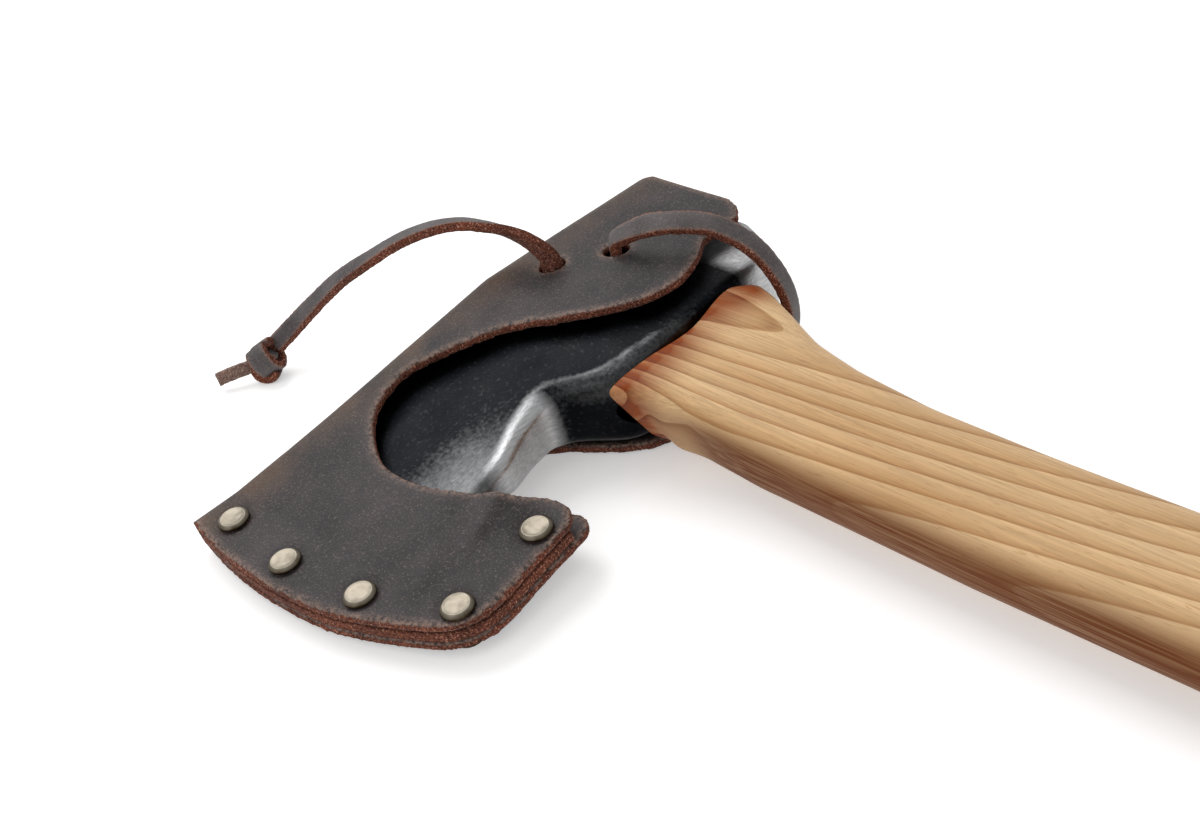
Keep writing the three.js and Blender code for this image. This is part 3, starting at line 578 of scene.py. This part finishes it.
IN_SLOT = (23.4, 101.2, 15.2)  # the lace's start, out of sight in its slot
free_ways = [(0.3, 0.3, 0.9), (0.5, -0.6, 0.5), (0.45, -0.89, 0.05), (0.5, -0.78, -0.2), (0.62, -0.55, -0.45),
             (0.68, -0.3, -0.62)]
free_lace, free_line, free_length = strap("free_lace", [IN_SLOT] + FREE_ROUTE, free_ways, 130, seed=2.0)
print("free lace", round(free_length, 1), "mm long")


def ring_route(middle, axis, start, radius, turns, drift, count=14):
    """Points round a middle, at right angles to an axis, drifting along it."""
    axis = Vector(axis).normalized()
    first = (Vector(start) - axis * Vector(start).dot(axis)).normalized()
    second = axis.cross(first)
    route = []
    for share in np.linspace(0, 1, count):
        a = float(share) * turns * 2 * math.pi
        round_it = (first * math.cos(a) + second * math.sin(a)) * radius
        route.append(middle + round_it + axis * drift * (float(share) - 0.5))
    return route


lace_way = Vector((-0.55, -0.76, -0.35)).normalized()
bight_way = (0.75, -0.6, 0.3)
band_route = ring_route(KNOT + Vector((0.6, 1.0, 1.0)), lace_way, (0, 0, 1), 4.1, 1.02, 1.8)
bight_route = ring_route(KNOT + Vector((1.2, -0.6, -0.9)), bight_way, (0.3, 0.8, 0.3), 3.5, 0.86, 1.6)
knot, _, _ = strap("knot", band_route, [lace_way], 60, width=7.2, thick=2.4, seed=5.0)
bight, _, _ = strap("knot_bight", bight_route, [bight_way], 50, width=5.0, thick=2.6, seed=6.0)
take_up(knot)
bight.select_set(True)
bpy.ops.object.join()

TAIL_LENGTH = 12
tail_way = Vector((math.sin(-0.51), -math.cos(-0.51), 0))
tail_start = KNOT + tail_way * (KNOT_RADIUS - 2)
tail, _, _ = strap("tail", [tail_start, tail_start + tail_way * TAIL_LENGTH * 0.5 + Vector((0, 0, 0.3)),
                            tail_start + tail_way * TAIL_LENGTH], [(-0.3, 0.2, 0.93), (-0.2, 0.3, 0.93)],
                   28, width=4.0, thick=2.4, seed=7.0)
hand_over(knot, lace_leather, "sheath", "lace_leather", "lace_knot")
hand_over(tail, raw_lace, "sheath", "lace_leather", "lace_tail")
hand_over(free_lace, lace_leather, "sheath", "lace_leather", "lace_free")

# %% [markdown]
# ## The rest of the lace
# Under the leather the lace lies pressed flat along the cheek, from one slot to the other. The loop comes out
# of the second slot, goes over the poll's corner, down behind the wood and back up through the lower layer:
# that is what holds the sheath on. It swings as a body of its own.

# %% Lace under the leather, and the loop
RUN_THICK = 1.5
CHEEK = 12.4  # half thickness at the eye
LEATHER_OUT = 17.4  # outer face of the leather over the eye
slot_way = Vector((math.cos(SLOT_TURN), math.sin(SLOT_TURN), 0))
slot_side = Vector((-slot_way.y, slot_way.x, 0))
loop_slot = (SLOT[0] + slot_way.x * SLOT_SPAN, SLOT[1] + slot_way.y * SLOT_SPAN)
flat = CHEEK + 0.35 + RUN_THICK / 2  # height of the lace's middle while it lies on the cheek


def along_cheek(steps, side):
    """Points over the line through both slots; a step is a way from the free end's slot and a height."""
    return [(SLOT[0] + slot_way.x * way, SLOT[1] + slot_way.y * way, side * height) for way, height in steps]


climb = [(SLOT_SPAN - 3, flat), (SLOT_SPAN - 0.8, flat + 0.4), (SLOT_SPAN, flat + 2),
         (SLOT_SPAN, LEATHER_OUT)]
upper = along_cheek([(0, LEATHER_OUT), (0, flat + 1.6), (1.2, flat + 0.2), (6, flat)] + climb, 1)
lower = along_cheek([(4, flat), (8, flat)] + climb, -1)
for name, route, seed, stands_for in (("lace_under_leather", upper, 8.0, "lace_run_upper"),
                                      ("lace_under_leather_lower", lower, 9.0, "lace_run_lower")):
    run, _, _ = strap(name, route, [slot_side], 60, thick=RUN_THICK, seed=seed, ragged=0.05)
    hand_over(run, lace_leather, "sheath", "lace_leather", stands_for)

LOOP_ROUTE = [
    (loop_slot[0] - 0.2, loop_slot[1], 15.2), (loop_slot[0], loop_slot[1], 17.9),
    (loop_slot[0] + 0.3, loop_slot[1] + 0.2, 20.1), (40, 115.4, 23), (46.4, 118.6, 25.6),
    (53.6, 122.4, 26), (60.2, 126.8, 24.4), (66, 129.6, 21), (70.8, 131.2, 17), (74.6, 132, 11.6),
    (77.2, 132.4, 5), (78, 132.2, -2), (76.6, 131.8, -9), (73.2, 130.8, -15.6), (67, 128.4, -19),
    (58, 124.4, -20.3), (48, 119.6, -20.4), (40.4, 116.2, -20.2), (loop_slot[0], loop_slot[1], -19.4),
]
loop_sides = [slot_side, (-0.55, 0.6, 0.5), (-0.42, 0.8, 0.35), (-0.35, 0.94, 0.1)] + [(-0.35, 0.94, 0)] * 5
loop, _, loop_length = strap("lace_loop_piece", LOOP_ROUTE, loop_sides, 180, width=6.2, seed=11.0, start=0.8)
hand_over(loop, lace_leather, "lace_bail", "lace_leather", "lace_loop")
print("loop", round(loop_length, 1), "mm")

# %% [markdown]
# ## The hide
# The sheath is one piece of hide folded over the top of the head. Its outline, its slots and its rivet holes
# are already cut in the CAD, but with hard corners, and real hide has soft ones. A voxel remesh turns the cut
# blank into even small faces, a smoothing pass rounds every rim by about its own voxel, and then the hide
# gets what a hand would feel: dents round the rivets, a pucker where the lace pulls, slow waves and shaggy
# cut edges.

# %% Blank from a CAD node
VOXEL = 0.78  # mm


def blank_from(name, node_name, voxel, passes):
    """A merged copy of a CAD node on the bench, remeshed into small even faces with soft corners."""
    data = frame["nodes"][node_name].data.copy()
    piece = place_new(name, data)
    data.transform(BENCH.inverted())
    take_up(piece)
    bpy.ops.object.mode_set(mode="EDIT")
    bpy.ops.mesh.select_all(action="SELECT")
    bpy.ops.mesh.remove_doubles(threshold=0.002)
    bpy.ops.object.mode_set(mode="OBJECT")
    apply_modifier(piece, "REMESH", mode="VOXEL", voxel_size=voxel)
    apply_modifier(piece, "SMOOTH", factor=0.5, iterations=passes)
    return piece


def near_to(points, marked):
    """How far each point is from the nearest marked one, in millimetres."""
    tree = KDTree(len(marked))
    for i, p in enumerate(marked):
        tree.insert(p, i)
    tree.balance()
    return np.array([tree.find(p)[2] for p in points])


# %% Hide
rivets = {}
for i in range(1, 6):
    low, high = on_bench(f"rivet_front_{i}")
    rivets[i] = ((low.x + high.x) / 2, (low.y + high.y) / 2)
CAP_RADIUS = (on_bench("rivet_front_1")[1].x - on_bench("rivet_front_1")[0].x) / 2
print("rivets at", {i: tuple(round(v, 1) for v in p) for i, p in rivets.items()})

RISE = 12.9  # mm that the leather rises over the blade
RISE_FROM, RISE_LENGTH = 2.7, 86.3  # where, from the front
PINCH_FROM, PINCH_LENGTH = 63.3, 10.2  # where the CAD pinches the heel flat again, down from the top

hide = blank_from("hide", "sheath_leather", VOXEL, 5)
points, normals = points_of(hide), normals_of(hide)
fold_at = points[:, 1] * LEAN - 3.4
inside_fold = points[:, 0] < fold_at + 9
cut_mask = (np.abs(normals[:, 2]) < 0.62) & ~inside_fold
end_cut = (np.abs(normals[:, 1]) > 0.72) & inside_fold
cut_mask |= end_cut
away = near_to(points, points[cut_mask])
cut = smooth_step(-away, -0.55, -0.05)
rim = np.exp(-(away / 1.5) ** 2) * (1 - cut)
outer = np.where(points[:, 2] > 0, 1.0, -1.0)

dent = np.zeros(len(points))
for x, y in rivets.values():
    r = np.hypot(points[:, 0] - x, points[:, 1] - y)
    dent += np.exp(-((r - CAP_RADIUS) / 1.7) ** 2) * (r > CAP_RADIUS - 0.8)
pull = Vector((SLOT[0] - slot_way.x * 6, SLOT[1] - slot_way.y * 6))
r_pull = np.hypot(points[:, 0] - pull.x, points[:, 1] - pull.y)
pucker = np.exp(-(r_pull / 5.5) ** 2) * (points[:, 2] > 0)
faces_out = np.abs(normals[:, 2]) * (np.sign(normals[:, 2]) == outer)
waves = 0.22 * ripple(points * np.array([1, 1, 0.2]), 26, 4.0)
rise = np.clip((points[:, 1] - RISE_FROM) / RISE_LENGTH, 0, 1) * (points[:, 1] < 51)
hard = 1 - np.clip((points[:, 0] - PINCH_FROM) / PINCH_LENGTH, 0, 1)
soft = 1 - smooth_step(points[:, 0], 55, 82)
ease = RISE * rise * (soft - hard) * smooth_step(np.abs(points[:, 2]), 1.0, 3.0)
lift = waves * outer * (away > 0.0) - 0.42 * dent * faces_out - 0.7 * pucker + ease
shag = ripple(points, 1.1, 5.0) + 0.7 * ripple(points, 0.8, 6.0)
points[:, 2] += lift * outer
points += normals * (shag * (0.02 + 0.17 * cut))[:, None]
move_points(hide, points)
paint(hide, "cut", cut)
paint(hide, "rim", rim)
paint(hide, "fold", np.exp(-((points[:, 0] - fold_at - 4) / 9) ** 2) + 0.25 * np.exp(-(r_pull / 12) ** 2))
shade(hide)
hand_over(hide, oiled_leather, "sheath", "oiled_leather", "sheath_leather")

# %% [markdown]
# ## The welt
# A strip of the same hide fills the seam in front of the edge, so that the blade meets leather and not
# rivets. Only its cut edge shows, between the two layers, a little pressed in.

# %% Welt
welt = blank_from("welt", "sheath_welt", 0.6, 3)
points, normals = points_of(welt), normals_of(welt)
side = smooth_step(1 - np.abs(normals[:, 2]), 0.2, 0.7)
shag = ripple(points, 1.0, 8.0) + 0.7 * ripple(points, 0.6, 9.0)
move_points(welt, points + normals * ((shag * 0.16 - 0.25) * side)[:, None])
paint(welt, "cut", side)
shade(welt)
hand_over(welt, edge_leather, "sheath", "leather_edge", "sheath_welt")

# %% [markdown]
# ## Bars to draw pieces out of
# A smith starts with a bar and a joiner with a billet. Here both are a cube, cut into strips along each side,
# and then every point is moved to where the drawing says. All faces stay four-sided and shade cleanly.

# %% Bar tool
def bar(name, cuts):
    """A cube from -1 to 1 whose edges along X, Y and Z are cut this often."""
    nothing_selected()
    bpy.ops.mesh.primitive_cube_add(size=2)
    piece = bpy.context.object
    piece.name = name
    bpy.ops.object.mode_set(mode="EDIT")
    bpy.ops.mesh.select_mode(type="EDGE")
    for axis, number in enumerate(cuts):
        bpy.ops.mesh.select_all(action="DESELECT")
        mesh = bmesh.from_edit_mesh(piece.data)
        for edge in mesh.edges:
            span = edge.verts[0].co - edge.verts[1].co
            edge.select_set(abs(abs(span[axis]) - span.length) < 1e-6)
        bmesh.update_edit_mesh(piece.data)
        bpy.ops.mesh.subdivide(number_cuts=number)
    bpy.ops.object.mode_set(mode="OBJECT")
    return piece


def eased(pairs, blur):
    """A smooth function through [place, value] pairs, with its corners rounded over about blur."""
    places, values = np.array(pairs, float).T
    fine = np.linspace(places[0] - 4 * blur, places[-1] + 4 * blur, 2400)
    raw = np.interp(fine, places, values)
    step = fine[1] - fine[0]
    reach = np.arange(-int(3 * blur / step), int(3 * blur / step) + 1) * step
    weight = np.exp(-(reach / blur) ** 2)
    soft = np.convolve(np.pad(raw, len(reach) // 2, mode="edge"), weight / weight.sum(), mode="valid")
    return lambda place: np.interp(place, fine, soft)


# %% [markdown]
# ## The head
# The head is thin at the edge and thick round the eye. Its top line falls a little towards the handle, its
# underside is cut away into a beard, and the metal round the eye reaches down as a lug that the wood sits
# against. The bar's three directions become those outlines; the corners are rounded, and more so beside the
# eye; shallow facets about 7 mm wide are what the last hammer blows leave.

# %% Head
EDGE_MIDDLE = 25.5
EDGE_RADIUS = 140
BEVEL = 9
WORN = 3.2  # rounding of the long corners
EYE = (97, 38, 17.5)  # the hole's middle in Y, its length and its width
EYE_FLARE = 1.08

underside = eased([(0, 66.5), (15, 64), (32, 60.5), (47, 58.5), (56, 55.1), (64, 53.5), (70, 56), (74, 61.2),
                   (78, 66.5), (82, 69), (134, 69), (138, 67.8), (141, 65), (143.4, 61), (145, 56)], 1.6)
cheek = eased([(-6, 0.12), (0, 0.12), (9, 1.7), (26, 3.4), (46, 5.6), (62, 8.1), (78, 11.1), (88, 12.4),
               (116, 12.4), (145, 11.4)], 1.2)
wear_low = eased([(0, 3.2), (50, 3.2), (74, 6.4), (82, 6.4), (97, 3.2), (116, 1.8), (145, 3.2)], 2.5)


def edge_curve(x):
    """How far the curved cutting edge lies behind its foremost point."""
    return (x - EDGE_MIDDLE) ** 2 / (2 * EDGE_RADIUS)


head = bar("head", (44, 84, 22))
points = points_of(head)
a, b, c = points.T.copy()
share = (b + 1) / 2
y = HEAD_LENGTH * share
top, low, half = LEAN * y, underside(y), np.maximum(cheek(y), 0.12)
x = top + (low - top) * (a + 1) / 2
z = half * c
worn = np.minimum(WORN, half * 0.8)
for sign, edge_x, across in ((1, low, np.minimum(wear_low(y), half * 2)), (-1, top, worn)):
    deep = np.minimum(worn, across)
    dx = (sign * (x - edge_x) + across) / across
    dz = (np.abs(z) - (half - deep)) / deep
    there = (dx > 0) & (dz > 0)
    size = np.where(there, np.hypot(dx, dz), 1)
    far_out = np.maximum(dx, dz)
    x = np.where(there, edge_x + sign * across * (dx / size * far_out - 1), x)
    z = np.where(there, np.sign(z) * (half - deep + deep * dz / size * far_out), z)
y = y + edge_curve(x) * (1 - smooth_step(y, 0, 45))
points = np.stack([x, y, z], 1)
hammer = ripple(points * np.array([1, 1, 0.6]), 8, 12.0) * 0.16 * smooth_step(y, 14, 40)
poll_round = smooth_step(y, HEAD_LENGTH - 3, HEAD_LENGTH) * 0.7
move_points(head, points)
points += normals_of(head) * hammer[:, None]
points[:, 1] -= poll_round * ((c ** 4 + a ** 4) / 2)
move_points(head, points)

# the eye: an oval hole, a little longer at the top, where the wedge spreads the wood
nothing_selected()
bpy.ops.mesh.primitive_cylinder_add(vertices=64, radius=1, depth=150, location=(40, 0, 0),
                                    rotation=(0, math.pi / 2, 0))
hole = bpy.context.object
bpy.ops.object.transform_apply(location=True, rotation=True, scale=True)
hole_points = points_of(hole)
flare = 1 + (EYE_FLARE - 1) * smooth_step(-hole_points[:, 0], -HEAD_DROP, -LEAN * EYE[0])
hole_points[:, 1] = EYE[0] + hole_points[:, 1] * EYE[1] / 2 * flare
hole_points[:, 2] *= EYE[2] / 2 * flare
move_points(hole, hole_points)
cut_with(head, hole, "DIFFERENCE")

points = points_of(head)
x, y, z = points.T
below = x - underside(y)  # negative above the underside
past_rim = below + wear_low(y)
beard = smooth_step(below, -6.5, -1.5) * smooth_step(y, 36, 48) * (1 - smooth_step(y, 63, 69))
lug_rim = np.exp(-(past_rim / 0.7) ** 2) * smooth_step(y, 55, 66) * (1 - smooth_step(y, 92, 104))
# painted light and shade: the lug turns slightly grey only on its upper side, and its lower side stays black
# as painted shade
lug = smooth_step(z, 2, 8) * smooth_step(y, 66, 74) * (1 - smooth_step(y, 100, 112))
lug = 0.1 * lug * smooth_step(past_rim, -0.5, 1.5)
poll_patch = smooth_step(y, 124, 130) * smooth_step(x, 44, 60)
edge_bare = 1 - smooth_step(y - edge_curve(x), BEVEL - 1, BEVEL + 1)
# painted reflection: the cheek's front turns grey towards the beard and stays black near the fold
front = 0.24 * (1 - smooth_step(y, 34, 66)) * smooth_step(x, 33, 56)
paint(head, "bare_steel_and_painted_light", np.maximum.reduce([beard, lug_rim * 0.2, poll_patch * 0.95, edge_bare, front, lug]))
shade(head, 38)
hand_over(head, forged_steel, "hatchet", "forged_steel", "axe_head")

# %% [markdown]
# ## The handle
# The handle starts as a broad shoulder against the head, thins to an oval grip, and ends in a swell that
# stops the hand. Under the head the section is nearly a box with soft corners, so it changes along the way.
# The tongue that fills the eye is a second, smaller bar joined to it, and the saw cut for the wedge goes
# through its top.

# %% Handle
BUTT = on_bench("handle")[1].x
handle_middle = eased([(69, 96.8), (71.3, 98.4), (75.3, 101.1), (81.3, 101.1), (89.3, 100.3), (101, 98.2),
                       (117, 96.4), (139, 95), (169, 94.4), (220, 94.8), (260, 95.8), (300, 95.4),
                       (330, 91.3), (352, 86.8), (368, 84.8), (380, 84.8)], 1.2)
half_depth = eased([(69, 24), (71.3, 24.8), (75.3, 24.8), (81.3, 23.6), (89.3, 21.6), (101, 19.2),
                    (117, 17.7), (139, 17.1), (169, 17), (220, 17), (300, 16.6), (330, 17.6), (352, 20.6),
                    (364, 22.8), (380, 23)], 1.2)
half_thick = eased([(69, 12.1), (75, 12.7), (101, 12.8), (139, 12.4), (220, 12), (300, 11.8), (330, 12.2),
                    (352, 12.6), (368, 13), (380, 13)], 3.0)
squareness = eased([(69, 0.16), (76, 0.22), (88, 0.42), (104, 0.68), (140, 0.84), (380, 0.86)], 3.0)


def draw_out(piece, x0, x1, middle, depth, thick, even, ends):
    """Turns a bar into a rounded rod along X; ends says how far the rounding of each end reaches."""
    a, b, c = points_of(piece).T
    radius = np.maximum(np.maximum(np.abs(b), np.abs(c)), 1e-9)
    x = x0 + (x1 - x0) * (a + 1) / 2
    start = np.clip((x - x0) / ends[0], 0, 1)
    stop = np.clip((x1 - x) / ends[1], 0, 1)
    shrink0 = ends[0] * (1 - np.sqrt(1 - (1 - start) ** 2)) * 0.8
    shrink1 = ends[1] * (1 - np.sqrt(1 - (1 - stop) ** 2)) * 0.8
    power = 2 / even(x)
    pull_in = (np.abs(b / radius) ** power + np.abs(c / radius) ** power) ** (-1 / power)
    y = middle(x) + pull_in * b * (depth(x) - shrink0 - shrink1)
    z = pull_in * c * (thick(x) - shrink0 - shrink1)
    move_points(piece, np.stack([x, y, z], 1))


UNDERCUT = 5.5  # the underside is cut back this much, and by as much again right at the head
FIT = 0.3  # gap between the wood and what it meets

grip = bar("handle_wood", (220, 18, 18))
billet = points_of(grip)
billet[:, 0] = 2 * ((billet[:, 0] + 1) / 2) ** 1.35 - 1  # more strips near the head, where the shape changes
move_points(grip, billet)
draw_out(grip, HEAD_DROP + FIT, BUTT, handle_middle, half_depth, half_thick, squareness, (0.5, 5.0))
points = points_of(grip)
x, y, z = points.T
low_side = np.clip((handle_middle(x) - y) / half_depth(x), 0, 1)
undercut = UNDERCUT * (2 - smooth_step(x, 76, 112) - smooth_step(x, 69, 82))
points[:, 1] += undercut * low_side * np.clip((half_thick(x) - z) / (2 * half_thick(x)), 0, 1)
points[:, 0] += 3.2 * np.exp(-((y - 102) / 11) ** 2) * smooth_step(z, 7, 12.4) * (1 - smooth_step(x, 69, 76))
move_points(grip, points)

TONGUE_TOP = LEAN * EYE[0] + 0.6
tongue = bar("tongue", (20, 12, 12))
eye_scale = eased([(TONGUE_TOP, EYE_FLARE), (HEAD_DROP, 1.0), (90, 1.0)], 2.0)
draw_out(tongue, TONGUE_TOP, HEAD_DROP + 1.3, lambda x: EYE[0] + 2.2 * smooth_step(x, 54, 62),
         lambda x: EYE[1] / 2 * eye_scale(x) - FIT - 2.2 * smooth_step(x, 54, 62),
         lambda x: EYE[2] / 2 * eye_scale(x) - FIT, lambda x: 0.9 + 0 * x, (0.5, 0.5))
cut_with(grip, tongue, "UNION")

for wedge, narrowing in (("wood_wedge", 0.8), ("steel_wedge", 0)):
    low, high = on_bench(wedge)
    nothing_selected()
    bpy.ops.mesh.primitive_cube_add(size=2)
    saw = bpy.context.object
    points = points_of(saw)
    deep = (points[:, 0] + 1) / 2
    wide = (1.1 if narrowing else 1.0) - narrowing * deep
    points[:, 0] = low.x - 4 + deep * (high.x - low.x + 4 + FIT)
    points[:, 1] = EYE[0] + points[:, 1] * ((high.y - low.y) / 2 + FIT)
    points[:, 2] *= (high.z - low.z) / 2 * wide + FIT
    move_points(saw, points)
    cut_with(grip, saw, "DIFFERENCE")

points = points_of(grip)
x, y, z = points.T
across = (y - handle_middle(x)) / half_depth(x)
# the belly's lower side darkens: heartwood colour, and painted shade where that side faces away from the
# light
heartwood_and_painted_shade = smooth_step(-across, 0.22, 0.72) * smooth_step(-z, -10, -3) * smooth_step(x, 72, 100)
scorch = (1 - smooth_step(x, 70, 87)) * 0.9 + 0.8 * (1 - smooth_step(x, 69, 75))
scorch += 0.7 * np.exp(-((y - 119) / 6) ** 2) * (1 - smooth_step(x, 74, 88))
paint(grip, "heartwood_and_painted_shade", heartwood_and_painted_shade)
paint(grip, "scorch", scorch)
remember_place(grip)
shade(grip, 40)
hand_over(grip, hickory, "hatchet", "hickory", "handle")

# %% [markdown]
# ## Rivets
# A rivet is a capped tube pushed through the hide from above and a capped pin crimped into it from below.
# Each cap is drawn from a disc: its top edge is bevelled, its face gets a shallow dish, and its neck is
# extruded from an inset of the underside. It is modelled once for each side and copied.

# %% Rivets
CAP_FLAT = 3.3  # radius of the cap's flat top
CAP_THICK = 1.2
SHOULDER = 0.62  # fall of the cap from its flat to its rim
POST = {"front": 1.7, "back": 0.65}  # radius under the cap


def rivet(side):
    """One rivet half on the bench, standing at X = Y = 0 where the CAD has it in height."""
    low, high = on_bench(f"rivet_{side}_1")
    sign = 1 if side == "front" else -1
    face = high.z if side == "front" else low.z
    foot = low.z if side == "front" else high.z
    nothing_selected()
    bpy.ops.mesh.primitive_cylinder_add(vertices=48, radius=CAP_RADIUS, depth=CAP_THICK,
                                        location=(0, 0, face - sign * CAP_THICK / 2))
    piece = bpy.context.object
    bpy.ops.object.transform_apply(location=True, rotation=True, scale=True)
    bpy.ops.object.mode_set(mode="EDIT")
    bpy.ops.mesh.select_mode(type="FACE")
    for outward in (True, False):
        bpy.ops.mesh.select_all(action="DESELECT")
        mesh = bmesh.from_edit_mesh(piece.data)
        for f in mesh.faces:
            f.select_set(abs(f.normal.z) > 0.9 and (f.normal.z * sign > 0) == outward)
        bmesh.update_edit_mesh(piece.data)
        if outward:
            bpy.ops.mesh.inset(thickness=CAP_RADIUS - CAP_FLAT)
            bpy.ops.mesh.inset(thickness=0.35)
            bpy.ops.mesh.inset(thickness=0.9)
        else:
            bpy.ops.mesh.inset(thickness=CAP_RADIUS - POST[side])
            reach = abs(face - foot) - CAP_THICK
            bpy.ops.mesh.extrude_region_move(TRANSFORM_OT_translate={"value": (0, 0, -sign * reach)})
    bpy.ops.object.mode_set(mode="OBJECT")
    points = points_of(piece)
    r = np.hypot(points[:, 0], points[:, 1])
    on_top = np.abs(points[:, 2] - face) < 0.01
    points[:, 2] -= sign * np.where(on_top & (r > CAP_RADIUS - 0.05), SHOULDER, 0)
    points[:, 2] -= sign * np.where(on_top & (r < CAP_FLAT - 0.2), 0.10, 0)
    points[:, 2] -= sign * np.where(on_top & (r < CAP_FLAT - 1.0), 0.04, 0)
    move_points(piece, points)
    apply_modifier(piece, "BEVEL", width=0.16, segments=3, limit_method="ANGLE", angle_limit=math.radians(20))
    points = points_of(piece)
    drop = np.abs(points[:, 2] - face)
    paint(piece, "tarnish", smooth_step(drop, 0.12, 0.75) * 0.85)
    return piece


for side in ("front", "back"):
    pattern = rivet(side)
    for i, (x, y) in rivets.items():
        piece = place_new(f"rivet_cap_{side}_{i}", pattern.data.copy())
        piece.data.transform(Matrix.Translation((x, y, 0)) @ Matrix.Rotation(i * 1.3, 4, "Z"))
        shade(piece, 50)
        hand_over(piece, brass, "sheath", "rivet_brass", f"rivet_{side}_{i}")
    bpy.data.objects.remove(pattern)

# %% [markdown]
# ## The wedges
# The wooden wedge spreads the tongue and the steel one crosses it. Both are plain driven wedges whose CAD
# shape is already right, so they keep it and only take their finish.

# %% Wedges
def steel_finish():
    material, tree, shader = finish_called("plain_steel", metallic=1.0, roughness=0.38)
    place = node(tree, PLACE, out="Object")
    smear = node(tree, NOISE, {"Vector": place, "Scale": 1 / (2 * MM), "Detail": 4.0})
    face = node(tree, MIX, {0: smear, 6: colour("#8d8f92"), 7: colour("#5f6164")}, **COLOURS)
    tree.links.new(face, shader.inputs["Base Color"])
    return material


for name, material in (("wood_wedge", sawn_wood), ("steel_wedge", steel_finish())):
    wedge = frame["nodes"][name]
    wedge.data.materials.clear()
    wedge.data.materials.append(material)

# %% [markdown]
# ## Floor and light
# Plain white paper and large soft lights keep the shadows light and close to the object. The stronger light
# stands beyond the top of the head; a weaker one fills from the cutting edge's side.

# %% Floor and light
nothing_selected()
bpy.ops.mesh.primitive_plane_add(size=4)
floor = bpy.context.object
floor.name = "floor"
PAPER_GLOW = 0.36  # the paper is lit from below, which keeps the shadows light
paper, _, _ = finish_called("white_paper", roughness=0.9, base_color=colour("#e6e6e6"),
                            emission_color=colour("#ffffff"), emission_strength=PAPER_GLOW)
floor.data.materials.append(paper)

world = bpy.data.worlds.new("studio")
bpy.context.scene.world = world
world.use_nodes = True
room = world.node_tree.nodes["Background"]
room.inputs["Color"].default_value = (1, 1, 1, 1)
room.inputs["Strength"].default_value = 0.72

middle = (cad_box[0] + cad_box[1]) / 2
for name, place, size, power in (
    ("key", (-0.9, 0.1, 1.0), 0.8, 8),
    ("fill", (-0.2, -0.9, 0.6), 0.9, 1.8),
):
    light = bpy.data.lights.new(name, "AREA")
    light.size = size
    light.energy = power
    lamp = place_new(name, light)
    lamp.location = place
    lamp.rotation_euler = (middle - Vector(place)).to_track_quat("-Z", "Y").to_euler()
bpy.context.scene.view_settings.view_transform = "Standard"
